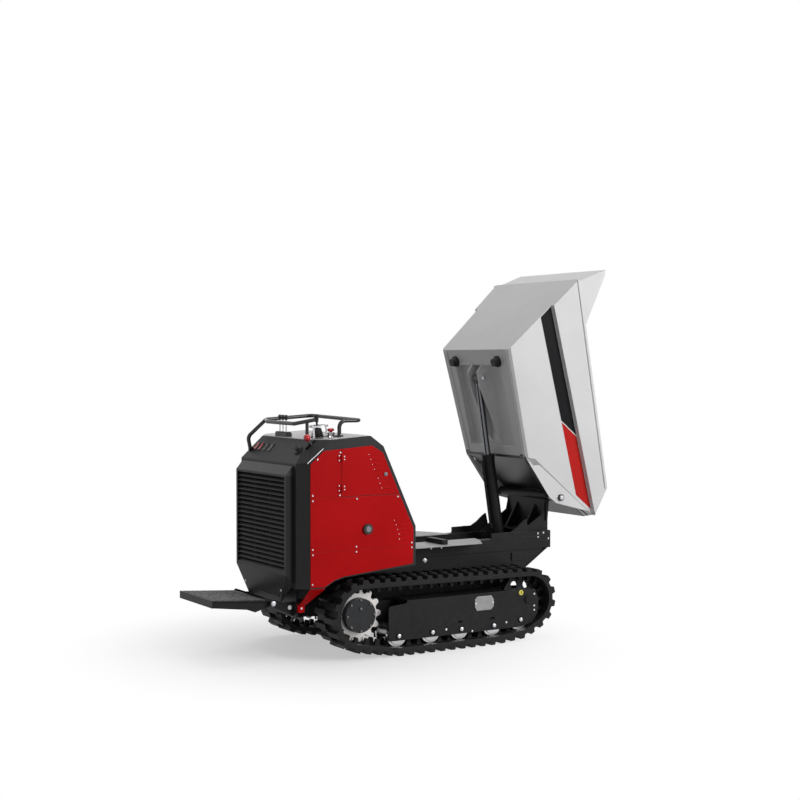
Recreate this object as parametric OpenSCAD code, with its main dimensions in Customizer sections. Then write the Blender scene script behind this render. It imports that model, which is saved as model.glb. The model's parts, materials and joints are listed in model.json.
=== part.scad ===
// Tracked power carrier with a hydraulically tipped skip, in millimetres, +X forward, +Z up
// Rest pose: skip tipped fully up, platform down, all controls centred

/* [Tracks] */
// width over both belts
width_over_belts = 960; // [930:10:1000]
// width of one belt
belt_width = 230; // [220:2:240]
// target pitch of the belt links
belt_pitch = 72; // [66:1:78]
// thickness of the belt carcass
carcass = 26; // [24:1:28]
// height of the tread lugs
tread_lug = 22; // [18:1:24]
// height of the guide lugs inside the belt
guide_lug = 34; // [28:1:36]
// teeth on the drive sprocket
sprocket_teeth = 13; // [11:1:15]
// radius of the belt's inner face round the sprocket
sprocket_wrap = 163; // [158:1:168]
// radius of the belt's inner face round the idler
idler_wrap = 146; // [140:1:150]
// radius of a bottom roller
roller_radius = 66; // [62:1:70]

/* [Skip] */
// angle the skip is tipped at rest
tip_angle = 76.5; // [70:0.5:80]
// length of the flat floor
floor_length = 702; // [696:1:708]
// half width of the floor at the rear
floor_half = 376; // [360:2:390]
// height of the rear wall's top above the floor
wall_height = 581; // [560:1:590]
// how far the rear wall leans back over its height
wall_lean = 316; // [300:2:320]
// sheet thickness of the skip
skip_sheet = 5; // [4:0.5:6]
// step outwards of the upper side sheets
side_step = 30; // [24:1:34]
// height of the spill guard above the rim
guard_height = 212; // [150:2:230]

/* [Tip cylinder] */
// outer radius of the barrel
barrel_radius = 39; // [36:0.5:40]
// radius of the chromed rod
rod_radius = 20; // [16:0.5:22]
// length of the barrel from its base pin
barrel_length = 562; // [550:1:563]

/* [Body] */
// half width of the power unit over its red panels
body_half = 416; // [400:2:420]
// thickness of the red panels
panel_sheet = 4; // [3:0.5:5]
// thickness of the body shell
shell_sheet = 3; // [2.5:0.5:4]
// number of louvres in the rear grille
louvre_count = 20; // [14:1:22]

/* [Controls] */
// radius of the handrail tube
rail_radius = 11.5; // [10.5:0.5:13]
// spacing of the three valve levers
lever_spacing = 40; // [36:1:44]
// radius of the red ball knob
ball_radius = 20; // [18:1:22]

/* [Platform] */
// length of the operator platform behind its hinge
platform_length = 370; // [340:5:400]
// half width of the platform at its rear edge
platform_half = 226; // [210:2:230]

/* [Hidden] */
$fn = 64;

running = 0.05;
loose = 0.3;
belt_out = width_over_belts / 2;
belt_in = belt_out - belt_width;
track_mid = (belt_out + belt_in) / 2;

function unit(v) = v / norm(v);
function inset(p, d) = let (n = len(p)) [for (i = [0 : n - 1])
    let (u = unit(p[i] - p[(i + n - 1) % n]), v = unit(p[(i + 1) % n] - p[i]),
        a = [-u[1], u[0]], b = [-v[1], v[0]]) p[i] + (a + b) * (d / (1 + a * b))];

// wheels that carry the belt, each as x, z and the radius of the belt's inner face
belt_stack = carcass + tread_lug;
roller_z = belt_stack + roller_radius + loose;
roller_lift = 18;
roller_x = [-318, -84, 122, 360, 560];
sprocket_x = -554;
sprocket_z = 249;
idler_x = 618;
idler_z = 252;
wheels = [[sprocket_x, sprocket_z, sprocket_wrap],
    [roller_x[0], roller_z, roller_radius + loose],
    [roller_x[3], roller_z, roller_radius + loose],
    [roller_x[4], roller_z + roller_lift, roller_radius + loose],
    [idler_x, idler_z, idler_wrap]];
wheel_n = len(wheels);
function centre(i) = [wheels[i % wheel_n][0], wheels[i % wheel_n][1]];
function wrap(i) = wheels[i % wheel_n][2];
function lead(i) = centre(i + 1) - centre(i);
function slope(i) = (wrap(i) - wrap(i + 1)) / norm(lead(i));
function outward(i) = let (u = unit(lead(i)), c = slope(i), s = sqrt(1 - c * c))
    [u[0] * c + u[1] * s, u[1] * c - u[0] * s];
function run_length(i) = norm(lead(i)) * sqrt(1 - slope(i) * slope(i));
function heading(i) = atan2(outward(i)[1], outward(i)[0]);
function turn(i) = let (t = heading(i) - heading(i + wheel_n - 1)) t - 360 * floor(t / 360);
pitch_offset = carcass / 2;
pieces = [for (i = [0 : wheel_n - 1]) each
    [(wrap(i) + pitch_offset) * turn(i) * PI / 180, run_length(i)]];
reach = [for (k = 0, s = 0; k <= 2 * wheel_n; s = s + (k < 2 * wheel_n ? pieces[k] : 0), k = k + 1) s];
belt_length = reach[2 * wheel_n];
link_count = round(belt_length / belt_pitch);
link = belt_length / link_count;
function piece_at(s) = max([for (k = [0 : 2 * wheel_n - 1]) if (s >= reach[k]) k]);
function belt_point(along, out) = let (s = along - belt_length * floor(along / belt_length),
    k = piece_at(s), i = floor(k / 2), t = s - reach[k])
    k % 2 == 0
        ? let (a = heading(i + wheel_n - 1) + t / (wrap(i) + pitch_offset) * 180 / PI)
            centre(i) + (wrap(i) + out) * [cos(a), sin(a)]
        : let (n = outward(i)) centre(i) + (wrap(i) + out) * n + t * [-n[1], n[0]];

// skip points are along the floor from its rear edge, across, and up from the floor
hinge_x = 961;
hinge_z = 854;
hinge_along = 1012;
hinge_up = 203;
ramp_start = [floor_length + 40, 33];
ramp_end = [1195, 387];
ramp_half = 292;
lip = [1180, 433];
rim_front = [1045, 548];
taper = -0.0506;
flare = 0.0464;
edge_chamfer = 14;
chamfer_run = 14;
fold_rear_up = 360;
fold_front = [1160, 424];
rear_slope = wall_lean / wall_height;
rear_top = [-wall_lean, wall_height];
fold_rear = [-fold_rear_up * rear_slope, fold_rear_up];
function half_at(p) = floor_half + taper * p[0] + flare * p[1];
ramp_dir = unit(ramp_end - ramp_start);
ramp_up = [-ramp_dir[1], ramp_dir[0]];
ramp_lean = 36;
function ramp_rise(t) = let (p = ramp_start + ramp_dir * t)
    (half_at(p) - ramp_half) / (cos(ramp_lean) - sin(ramp_lean) * (taper * ramp_up[0] + flare * ramp_up[1]));
function ramp_edge(t) = ramp_start + ramp_dir * t + ramp_up * (ramp_rise(t) * sin(ramp_lean));
corner_ramp = ramp_edge(0);
fold_run = [fold_front[0] - fold_rear[0], fold_front[1] - fold_rear[1]];
function across(a, b) = a[0] * b[1] - a[1] * b[0];
edge_run = ramp_edge(500) - corner_ramp;
fold_tip = corner_ramp + edge_run * (across(fold_rear - corner_ramp, fold_run) / across(edge_run, fold_run));
corner_rear = [-edge_chamfer * rear_slope, edge_chamfer];
function to_frame(p) = [hinge_x + (p[0] - hinge_along) * cos(tip_angle) + (p[1] - hinge_up) * sin(tip_angle),
    hinge_z - (p[0] - hinge_along) * sin(tip_angle) + (p[1] - hinge_up) * cos(tip_angle)];

// tip cylinder, its base pin on the chassis and its rod eye on the skip
base_pin = [720, 565];
eye_along = 181;
eye_up = -14;
eye_rest = to_frame([eye_along, eye_up]);
eye_low = [hinge_x + eye_along - hinge_along, hinge_z + eye_up - hinge_up];
reach_out = norm(eye_rest - base_pin);
reach_in = norm(eye_low - base_pin);
stroke = reach_out - reach_in;
lean = atan2(eye_rest[1] - base_pin[1], eye_rest[0] - base_pin[0]);
pin_radius = 15;

// body outline seen from the side, and the outlines of its panels
body_outline = [[-939, 425], [-787, 425], [-721, 460], [-656, 476], [-174, 515], [-174, 746],
    [-395, 1224], [-482, 1286], [-823, 1264.85], [-939, 1136]];
panel_outline = [[-879, 435], [-787, 433], [-721, 468], [-656, 484], [-216, 524], [-195, 528],
    [-192, 735], [-402, 1187], [-475, 1230], [-792, 1208], [-879, 1134]];
door_seam = -678;
upper_seam = 940;
lower_seam = 633;
seam = 3;
shell_half = body_half - panel_sheet;
corner_cut = 58;
grille_half = shell_half - corner_cut - 30;
function edge_x(a, b, z) = a[0] + (b[0] - a[0]) * (z - a[1]) / (b[1] - a[1]);
function panel_front(z) = edge_x(panel_outline[6], panel_outline[7], z);
door_left = door_seam + seam;
door_low = upper_seam + seam;
door_top = panel_outline[9][1] + (panel_outline[8][1] - panel_outline[9][1]) * (door_left - panel_outline[9][0])
    / (panel_outline[8][0] - panel_outline[9][0]);
door_outline = [[door_left, door_low], [panel_front(door_low), door_low], panel_outline[7], panel_outline[8],
    [door_left, door_top]];
top_rear = body_outline[8];
top_front = body_outline[7];
top_rise = (top_front[1] - top_rear[1]) / (top_front[0] - top_rear[0]);
function top_at(x) = top_rear[1] + (x - top_rear[0]) * top_rise;
desk = 5;
function desk_at(x) = top_at(x) + desk;
desk_tilt = atan(top_rise);
module on_desk(x, y) { translate([x, y, desk_at(x)]) rotate([0, -desk_tilt, 0]) children(); }
slope_dir = unit(body_outline[8] - body_outline[9]);
slope_tilt = atan2(slope_dir[1], slope_dir[0]);
function slope_at(t) = body_outline[9] + slope_dir * t;

deck_z = 604;
rail_in = 170;
rail_out = 230;
rail_low = 528;
nose_x = 962;
platform_x = -1030;
platform_z = 336;
foot_rear = platform_x - platform_length;
shift_x = -(foot_rear + to_frame(rim_front)[0]) / 2;

module in_frame() { translate([shift_x, 0, 0]) children(); }
module span_y(y0, y1) {
    translate([0, max(y0, y1), 0]) rotate([90, 0, 0]) linear_extrude(height = abs(y1 - y0)) children();
}
module rod_y(x, z, r, y0, y1) {
    translate([x, max(y0, y1), z]) rotate([90, 0, 0]) cylinder(h = abs(y1 - y0), r = r);
}
module box_at(x0, x1, y0, y1, z0, z1) {
    translate([min(x0, x1), min(y0, y1), min(z0, z1)]) cube([abs(x1 - x0), abs(y1 - y0), abs(z1 - z0)]);
}
module hex_y(x, z, r, y0, y1) {
    translate([x, max(y0, y1), z]) rotate([90, 0, 0]) cylinder(h = abs(y1 - y0), r = r, $fn = 6);
}
// flat sheet through the listed points of space, its thickness to the left-hand side of their turn
module sheet(points, thick) {
    e = unit(points[1] - points[0]);
    n = unit(cross(e, points[2] - points[0]));
    f = cross(n, e);
    c = points[0];
    o = c + n * min(thick, 0);
    multmatrix([[e[0], f[0], n[0], o[0]], [e[1], f[1], n[1], o[1]], [e[2], f[2], n[2], o[2]], [0, 0, 0, 1]])
        linear_extrude(height = abs(thick)) polygon([for (p = points) [(p - c) * e, (p - c) * f]]);
}
// round tube through the listed points with bends of the given radius
module tube_run(points, r, bend) {
    n = len(points);
    lap = 2;
    dirs = [for (i = [0 : n - 2]) unit(points[i + 1] - points[i])];
    trim = [for (i = [0 : n - 1]) i == 0 || i == n - 1 ? 0
        : bend * tan(acos(dirs[i - 1] * dirs[i]) / 2)];
    for (i = [0 : n - 2]) {
        a = points[i] + dirs[i] * (trim[i] - (i > 0 ? lap : 0));
        b = points[i + 1] - dirs[i] * (trim[i + 1] - (i < n - 2 ? lap : 0));
        d = dirs[i];
        side = unit(cross(d, abs(d[2]) > 0.9 ? [1, 0, 0] : [0, 0, 1]));
        up = cross(side, d);
        multmatrix([[side[0], -up[0], d[0], a[0]], [side[1], -up[1], d[1], a[1]],
            [side[2], -up[2], d[2], a[2]], [0, 0, 0, 1]]) cylinder(h = norm(b - a), r = r);
    }
    for (i = [1 : n - 2]) {
        d = dirs[i - 1];
        inner = unit(dirs[i] - d * (d * dirs[i]));
        c = points[i] - d * trim[i] + inner * bend;
        w = cross(-inner, d);
        multmatrix([[-inner[0], d[0], w[0], c[0]], [-inner[1], d[1], w[1], c[1]],
            [-inner[2], d[2], w[2], c[2]], [0, 0, 0, 1]])
            rotate_extrude(angle = acos(d * dirs[i])) translate([bend, 0]) circle(r = r + 0.4);
    }
}

// undercarriage
rim_gap = 3;
row_in = 23;
row_out = 48;
rim_in = row_out + 5;
plate_in = 80;
plate = 8;
axle_radius = 12;
sprocket_half = 15;
hub_radius = 100;
hub_face = 56;
spindle_radius = 40;

// the space inside the belt, arcs round the wheels and straight runs between them
module belt_inside() {
    polygon([for (i = [0 : wheel_n - 1]) each [centre(i) + wrap(i) * outward(i), centre(i + 1) + wrap(i + 1) * outward(i)]]);
    for (i = [0 : wheel_n - 1]) translate(centre(i)) circle(r = wrap(i));
}
module belt(s) {
    lug = link * 0.47;
    for (half = [0, 1]) {
        y0 = half == 0 ? track_mid : belt_in;
        y1 = half == 0 ? belt_out : track_mid;
        span_y(s * y0, s * y1) difference() {
            polygon([for (j = [0 : link_count - 1]) let (c = (j + half / 2) * link) each [
                belt_point(c - lug / 2 - 4, carcass), belt_point(c - lug / 2 + 3, belt_stack),
                belt_point(c + lug / 2 - 3, belt_stack), belt_point(c + lug / 2 + 4, carcass)]]);
            belt_inside();
        }
    }
    for (row = [-1, 1])
        span_y(s * (track_mid + row * row_in), s * (track_mid + row * row_out)) difference() {
            polygon([for (j = [0 : 2 * link_count - 1]) belt_point(j * link / 2, carcass / 2)]);
            polygon([for (j = [0 : link_count - 1]) let (c = (j + 0.25) * link) each [
                belt_point(c - 17, 2), belt_point(c - 9, -guide_lug),
                belt_point(c + 9, -guide_lug), belt_point(c + 17, 2)]]);
        }
}
module hub(s) {
    difference() {
        union() {
            rod_y(sprocket_x, sprocket_z, hub_radius, s * (track_mid - 62), s * (track_mid + hub_face));
            rod_y(sprocket_x, sprocket_z, hub_radius + 20, s * (track_mid - sprocket_half - 14),
                s * (track_mid - sprocket_half));
            for (i = [0 : 7])
                hex_y(sprocket_x + (hub_radius - 10) * cos(i * 45), sprocket_z + (hub_radius - 10) * sin(i * 45),
                    7, s * (track_mid + hub_face - 2), s * (track_mid + hub_face + 5));
            hex_y(sprocket_x, sprocket_z + 40, 11, s * (track_mid + hub_face - 2), s * (track_mid + hub_face + 5));
        }
        rod_y(sprocket_x, sprocket_z, spindle_radius + running, s * (track_mid - 70), s * (track_mid + 10));
    }
}
module sprocket(s) {
    tip = sprocket_wrap - 5;
    root = tip - 29;
    step = 360 / sprocket_teeth;
    shape = [[-0.5, 0], [-0.36, 0.02], [-0.27, 0.38], [-0.2, 0.78], [-0.11, 1],
        [0.11, 1], [0.2, 0.78], [0.27, 0.38], [0.36, 0.02]];
    span_y(s * (track_mid - sprocket_half), s * (track_mid + sprocket_half)) difference() {
        translate([sprocket_x, sprocket_z]) polygon([for (i = [0 : sprocket_teeth - 1]) for (q = shape)
            let (a = (i + q[0]) * step, r = root + (tip - root) * q[1]) r * [cos(a), sin(a)]]);
        translate([sprocket_x, sprocket_z]) circle(r = hub_radius + running);
    }
}
// the idler runs between the two rows of guide lugs
module idler(s) {
    r = idler_wrap - rim_gap;
    half = row_in - 5;
    difference() {
        union() {
            rod_y(idler_x, idler_z, r, s * (track_mid - half), s * (track_mid + half));
            rod_y(idler_x, idler_z, 45, s * (track_mid - plate_in + loose), s * (track_mid + plate_in - loose));
        }
        for (side = [-1, 1]) span_y(s * (track_mid + side * 6), s * (track_mid + side * (half + 1)))
            translate([idler_x, idler_z]) difference() {
                circle(r = r - 16);
                circle(r = 58);
            }
        for (a = [0 : 60 : 359])
            rod_y(idler_x + 92 * cos(a), idler_z + 92 * sin(a), 25, s * (track_mid - half - 2), s * (track_mid + half + 2));
        rod_y(idler_x, idler_z, 20 + running, s * (track_mid - 90), s * (track_mid + 90));
    }
}
module roller(s, k) {
    x = roller_x[k];
    z = roller_z + (k == 4 ? roller_lift : 0);
    difference() {
        union() {
            for (side = [-1, 1]) {
                rod_y(x, z, roller_radius, s * (track_mid + side * rim_in), s * (track_mid + side * (rim_in + 16)));
                rod_y(x, z, roller_radius - 14, s * (track_mid + side * (rim_in + 10)),
                    s * (track_mid + side * (rim_in + 23)));
            }
            if (k < 4) rod_y(x, z, 27, s * (track_mid - rim_in - 5), s * (track_mid + rim_in + 5));
        }
        rod_y(x, z, axle_radius + running, s * (track_mid - 90), s * (track_mid + 90));
    }
}
frame_low = roller_z - 28;
frame_high = 316;
module frame_side() {
    polygon([[-383, frame_low], [560, frame_low], [652, roller_z - 8], [692, 160], [700, 250], [672, 312],
        [600, frame_high], [-256, frame_high], [-262, 300], [-376, 289], [-383, 275]]);
}
module track_frame(s) {
    near = track_mid + plate_in;
    far = track_mid - plate_in;
    span_y(s * near, s * (near + plate)) frame_side();
    difference() {
        union() {
            span_y(s * (far - plate), s * far) {
                frame_side();
                translate([sprocket_x, sprocket_z]) circle(r = 104);
                polygon([[sprocket_x, sprocket_z - 104], [-370, frame_low + 40], [-300, 300], [-370, 300],
                    [sprocket_x, sprocket_z + 104]]);
            }
            rod_y(sprocket_x, sprocket_z, 78, s * (far - 96), s * (far - plate + 1));
            rod_y(sprocket_x, sprocket_z, spindle_radius, s * (far - 4), s * (track_mid - 2));
            rod_y(sprocket_x, sprocket_z, 60, s * (far - 1), s * (track_mid - 62 - loose));
        }
    }
    box_at(-250, 470, s * (far - 2), s * (near + 2), frame_high - 10, frame_high);
    box_at(-250, 470, s * (track_mid - 30), s * (track_mid + 30), frame_high - 70, frame_high - 8);
    for (k = [0 : 4]) {
        z = roller_z + (k == 4 ? roller_lift : 0);
        if (k < 4) rod_y(roller_x[k], z, axle_radius, s * (far - 4), s * (near + 4));
        else for (side = [-1, 1])
            rod_y(roller_x[k], z, axle_radius, s * (track_mid + side * (rim_in - 3)), s * (track_mid + side * (plate_in + 4)));
        hex_y(roller_x[k], z, 16, s * (near + plate - 1), s * (near + plate + 9));
    }
    rod_y(idler_x, idler_z, 20, s * (far - 4), s * (near + 4));
    hex_y(idler_x, idler_z, 26, s * (near + plate - 1), s * (near + plate + 10));
    rod_y(288, 262, 20, s * (near + plate - 1), s * (near + plate + 3));
}

// main frame
stand_x = 940;
stand_half = 200;
tube_radius = 30;
ear_in = 302;
ear_out = 334;
pin_half = 31;
nose_top = 637;
nose_low = 541;
nose = [[nose_x, nose_top], [660, nose_top], [660, rail_low], [942, rail_low], [nose_x, nose_low]];
belly = [[-870, rail_low + 6], [904, rail_low + 6], [904, 503], [764, 411], [660, 411], [610, 290], [-300, 290],
    [-380, 345], [-870, 345]];
// gusset on the rail, kept under the floor of the lowered skip
gusset = [[505, deck_z - 2], [505, 640], [600, 642], [655, 642], [700, 667], [745, 703], [772, 719], [800, deck_z - 2]];
// rest for the lowered skip
rest_x = 84;
rest_top = 640;
deck_sheet = 6;
module chassis() {
    cross_in = track_mid - plate_in - plate;
    color([0.13, 0.13, 0.14]) in_frame() union() {
        for (s = [-1, 1]) {
            box_at(-900, nose_x, s * rail_in, s * rail_out, rail_low, deck_z);
            span_y(s * (rail_out - 12), s * rail_out) polygon(nose);
            span_y(s * (rail_out - 16), s * (rail_out - 8)) polygon(belly);
            span_y(s * (rail_out - 12), s * (rail_out - 2)) polygon(gusset);
            box_at(rest_x - 14, rest_x + 14, s * (rail_in + 5), s * (rail_out - 5), deck_z - 2, rest_top - 2);
            box_at(rest_x - 18, rest_x + 18, s * 150, s * 339, rest_top - 5, rest_top);
            box_at(rest_x - 18, rest_x - 13, s * 150, s * 339, deck_z + deck_sheet + 1, rest_top - 1);
            box_at(rest_x - 18, rest_x + 18, s * 334, s * 339, deck_z + deck_sheet + 1, rest_top - 1);
            span_y(s * (stand_half - 10), s * stand_half)
                polygon([[700, deck_z], [nose_x, deck_z], [nose_x, 700], [hinge_x + 14, hinge_z], [hinge_x - 14, hinge_z],
                    [stand_x - 20, 740]]);
            span_y(s * 90, s * 102)
                polygon([[840, nose_top - 2], [stand_x + 6, nose_top - 2], [stand_x + 6, 800], [stand_x - 6, 790]]);
            span_y(s * pin_half, s * (pin_half + 16)) {
                polygon([for (p = [[-44, -57], [44, -57], [28, 10], [-28, 10]]) base_pin + p]);
                translate(base_pin) circle(r = 32);
            }
            rod_y(hinge_x, hinge_z, pin_radius, s * (ear_in - 2), s * (ear_out + 3));
            hex_y(hinge_x, hinge_z, 22, s * (ear_out + 1), s * (ear_out + 14));
            for (x = [-180, 360]) box_at(x, x + 80, s * rail_in, s * (rail_out - 12), 240, rail_low + 1);
            span_y(s * 238, s * 252)
                polygon([[-894, 250], [-894, 335], [-960, 335], [platform_x, platform_z + 24],
                    [platform_x - 24, platform_z], [platform_x, platform_z - 24], [-960, 280]]);
            box_at(-896, -860, s * rail_in, s * rail_out, 380, rail_low + 2);
        }
        box_at(stand_x, stand_x + 12, -stand_half, stand_half, nose_top - 2, hinge_z - 10);
        box_at(stand_x + 2, stand_x + 10, -stand_half - 12, stand_half + 12, nose_top + 60, hinge_z - 6);
        rod_y(hinge_x, hinge_z, tube_radius, -ear_in + loose, ear_in - loose);
        box_at(820, nose_x, -rail_out, rail_out, nose_top - 8, nose_top);
        sheet([[761, -rail_out + 2, 408], [nose_x, -rail_out + 2, nose_low], [nose_x, rail_out - 2, nose_low],
            [761, rail_out - 2, 408]], 8);
        box_at(nose_x - 10, nose_x, -rail_out, rail_out, nose_low, nose_top);
        rod_y(base_pin[0], base_pin[1], pin_radius, -pin_half - 24, pin_half + 24);
        box_at(660, 780, -rail_out, rail_out, 460, 510);
        for (x = [-180, 360]) box_at(x, x + 80, -cross_in, cross_in, 200, 280);
        box_at(-904, -892, -288, 288, 250, deck_z);
        box_at(-880, -174, -shell_half + shell_sheet, shell_half - shell_sheet, deck_z - 6, deck_z);
        rod_y(platform_x, platform_z, 11, -250, 250);
    }
}
module deck_plate(s) {
    color([0.75, 0.75, 0.76]) in_frame() difference() {
        translate([0, 0, deck_z]) linear_extrude(height = deck_sheet)
            polygon([[-170, s * 150], [430, s * 150], [400, s * 250], [330, s * 372], [-170, s * 372]]);
        box_at(rest_x - 15, rest_x + 15, s * (rail_in + 4), s * (rail_out - 4), deck_z - 5, deck_z + 20);
    }
}

// power unit
shell_plan = [[-939, -shell_half + corner_cut], [-939 + corner_cut, -shell_half], [-174, -shell_half],
    [-174, shell_half], [-939 + corner_cut, shell_half], [-939, shell_half - corner_cut]];
// slanted corner between the slope, the desk and the side, through three points of its plane
corner_high = [body_outline[8][0], shell_half - 107, body_outline[8][1]];
corner_side = [for (p = [panel_outline[9] + [2, 15], panel_outline[10] + [-16, 0]]) [p[0], shell_half, p[1]]];
corner_way = unit(cross(corner_side[1] - corner_side[0], corner_high - corner_side[0]));
corner_out = corner_way[2] < 0 ? -corner_way : corner_way;
module corner_block(s, d) {
    along = unit(corner_side[0] - corner_side[1]);
    over = unit(cross(corner_out, along));
    base = corner_high - corner_out * d;
    points = [base - along * 260 - over * 300, base + along * 260 - over * 300, base + along * 260 + over * 300, base - along * 260 + over * 300];
    n = cross(points[1] - points[0], points[2] - points[0]);
    sheet([for (q = points) [q[0], s * q[1], q[2]]], n * corner_out * s > 0 ? 260 : -260);
}
module shell_solid(d) {
    difference() {
        intersection() {
            span_y(-shell_half + d, shell_half - d) polygon(inset(body_outline, d));
            translate([0, 0, 300]) linear_extrude(height = 1100) polygon(inset(shell_plan, d));
        }
        for (s = [-1, 1]) corner_block(s, d);
    }
}
window = inset(door_outline, 22);
switch_y = [270, 214, 152, 84];
key_y = -264;
slope_mid = norm(body_outline[8] - body_outline[9]) * 0.545;
throttle_y = -330;
throttle_at = [-812, 1222];
throttle_lean = -36;
throttle_reach = 73;
module on_slope(t, y) {
    p = slope_at(t);
    translate([p[0], y, p[1]]) rotate([0, -slope_tilt, 0]) children();
}
module body_shell() {
    color([0.17, 0.17, 0.18]) in_frame() {
        difference() {
            union() {
                difference() {
                    shell_solid(0);
                    shell_solid(shell_sheet);
                    translate([0, 0, 300]) linear_extrude(height = 240) polygon(inset(shell_plan, shell_sheet + 0.5));
                    box_at(-190, -160, -shell_half + shell_sheet, shell_half - shell_sheet, 300, deck_z);
                }
                on_slope(slope_mid, key_y) cylinder(h = 8, r = 30);
                intersection() {
                    shell_solid(1);
                    span_y(throttle_y - 14, throttle_y + 14)
                        polygon([for (p = [[-16, -14], [14, -14], [34, 60], [-50, 60]]) throttle_at + p]);
                }
            }
            for (s = [-1, 1]) span_y(s * (shell_half - 12), s * (shell_half + 1)) polygon(window);
            box_at(-945, -930, -grille_half + 30, grille_half - 30, 530, 1050);
            for (y = switch_y) on_slope(slope_mid, y) translate([-23.5, -13.3, -9]) cube([47, 26.6, 18]);
            on_slope(slope_mid, key_y) translate([0, 0, -9]) cylinder(h = 20, r = 13 + running);
            span_y(throttle_y - 8.3, throttle_y + 8.3)
                polygon([for (p = [[-52, -20], [16, -20], [16, 64], [-52, 64]]) throttle_at + p]);
        }
        rod_y(throttle_at[0], throttle_at[1], 4, throttle_y - 14, throttle_y + 14);
    }
}
module panel_bolt(s, x, z) { rod_y(x, z, 6, s * (body_half - 1), s * (body_half + 3)); }
hinge_z_list = [upper_seam + 52, door_top - 52];
hinge_y = body_half + 6;
module side_panel(s) {
    color([0.66, 0.06, 0.07]) in_frame() {
        difference() {
            span_y(s * shell_half, s * body_half) difference() {
                polygon(panel_outline);
                polygon([[door_seam, upper_seam], [panel_outline[6][0] + 10, upper_seam],
                    [panel_outline[6][0] + 10, panel_outline[8][1] + 70], [door_seam, panel_outline[8][1] + 70]]);
                if (s < 0) translate([-506, 748]) circle(r = 24 + running);
            }
            for (z = [upper_seam, lower_seam])
                box_at(-900, -150, s * (body_half - 2), s * (body_half + 2), z - seam / 2, z + seam / 2);
        }
        for (p = [[-866, upper_seam + 16], [-866, upper_seam - 14], [-577, upper_seam - 14], [-866, lower_seam + 17],
            [-866, lower_seam - 13], [-581, lower_seam + 17], [-581, lower_seam - 13], [-205, lower_seam + 17],
            [-205, lower_seam - 11], [-868, 452], [-834, 1160], [door_seam - 8, door_top - 20],
            [door_seam - 12, upper_seam + 12], [panel_front(upper_seam - 14) - 19, upper_seam - 14]])
            panel_bolt(s, p[0], p[1]);
        for (z = hinge_z_list) {
            box_at(door_seam - 24, door_seam - 8, s * (body_half - 1), s * (body_half + 3), z - 22, z + 22);
            for (end = [-1, 1]) {
                box_at(door_seam - 10, door_seam, s * (body_half - 1), s * hinge_y, z + end * 14, z + end * 22);
                translate([door_seam, s * hinge_y, min(z + end * 14, z + end * 22)]) cylinder(h = 8, r = 6);
            }
            translate([door_seam, s * hinge_y, z - 20]) cylinder(h = 40, r = 3);
        }
    }
}
latch_z = upper_seam + (panel_outline[7][1] - upper_seam) * 0.494;
latch_at = [panel_front(latch_z) - 40, latch_z];
module door(s) {
    color([0.66, 0.06, 0.07]) in_frame() difference() {
        union() {
            span_y(s * (shell_half + loose), s * body_half)
                polygon(door_outline);
            for (z = hinge_z_list) {
                translate([door_seam, s * hinge_y, z - 13]) cylinder(h = 26, r = 6);
                box_at(door_seam + 2, door_seam + 10, s * (hinge_y - 3), s * (hinge_y + 1), z - 13, z + 13);
                box_at(door_seam + 7, door_seam + 24, s * (body_half - 1), s * (hinge_y + 1), z - 13, z + 13);
            }
        }
        for (z = hinge_z_list) translate([door_seam, s * hinge_y, z - 30]) cylinder(h = 60, r = 3 + running);
        rod_y(latch_at[0], latch_at[1], 5 + running, s * (body_half - 20), s * (body_half + 20));
    }
}
module latch(s) {
    color([0.6, 0.6, 0.62]) in_frame() {
        rod_y(latch_at[0], latch_at[1], 11, s * (body_half + loose), s * (body_half + 6));
        rod_y(latch_at[0], latch_at[1], 5, s * (shell_half - 10), s * (body_half + 2));
        box_at(latch_at[0] - 5, latch_at[0] + 5, s * (shell_half - 9), s * (shell_half - 5),
            latch_at[1] - 5, latch_at[1] + 26);
        box_at(latch_at[0] - 1.5, latch_at[0] + 1.5, s * (body_half + 4), s * (body_half + 9),
            latch_at[1] - 8, latch_at[1] + 8);
    }
}
module filler_cap() {
    color([0.1, 0.1, 0.1]) in_frame() {
        rod_y(-506, 748, 30, -body_half - loose, -body_half - 12);
        rod_y(-506, 748, 24, -shell_half - loose, -body_half - 2);
        rod_y(-506, 748, 17, -body_half - 10, -body_half - 16);
    }
}
grille_outline = [[-939, 446], [-939, 1122], [-945, 1122], [-988, 1070], [-988, 500]];
tail_half = grille_half - 121;
louvre_half = grille_half - 18;
louvre_low = 520;
louvre_high = 1058;
module grille_solid(d, e) {
    intersection() {
        span_y(-grille_half - 20, grille_half + 20)
            polygon(inset([for (i = [4 : -1 : 0]) grille_outline[i] + [i < 2 ? e : 0, 0]], d));
        translate([0, 0, 300]) linear_extrude(height = 900)
            polygon(inset([[-988, grille_half], [-988, -grille_half], [-939 + e, -grille_half], [-939 + e, grille_half]], d));
    }
}
module rear_grille() {
    step = (louvre_high - louvre_low) / louvre_count;
    color([0.17, 0.17, 0.18]) in_frame() {
        difference() {
            grille_solid(0, 0);
            grille_solid(4, 12);
            box_at(-1000, -970, -louvre_half + 2, louvre_half - 2, louvre_low, louvre_high);
        }
        for (i = [0 : louvre_count - 1]) let (z = louvre_low + i * step)
            span_y(-louvre_half, louvre_half) polygon([[-987, z], [-984, z], [-966, z + 20], [-969, z + 20]]);
        for (y = [-1, -0.33, 0.33, 1])
            box_at(-974, -967, y * (louvre_half - 2) - 2, y * (louvre_half - 2) + 2, louvre_low - 4, louvre_high + 4);
        hull() {
            span_y(-grille_half + 0.5, grille_half - 0.5) polygon([[-987, 499], [-941, 449], [-941, 453], [-987, 503]]);
            box_at(-962, -956, -tail_half, tail_half, 333, 337);
        }
    }
}

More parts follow.
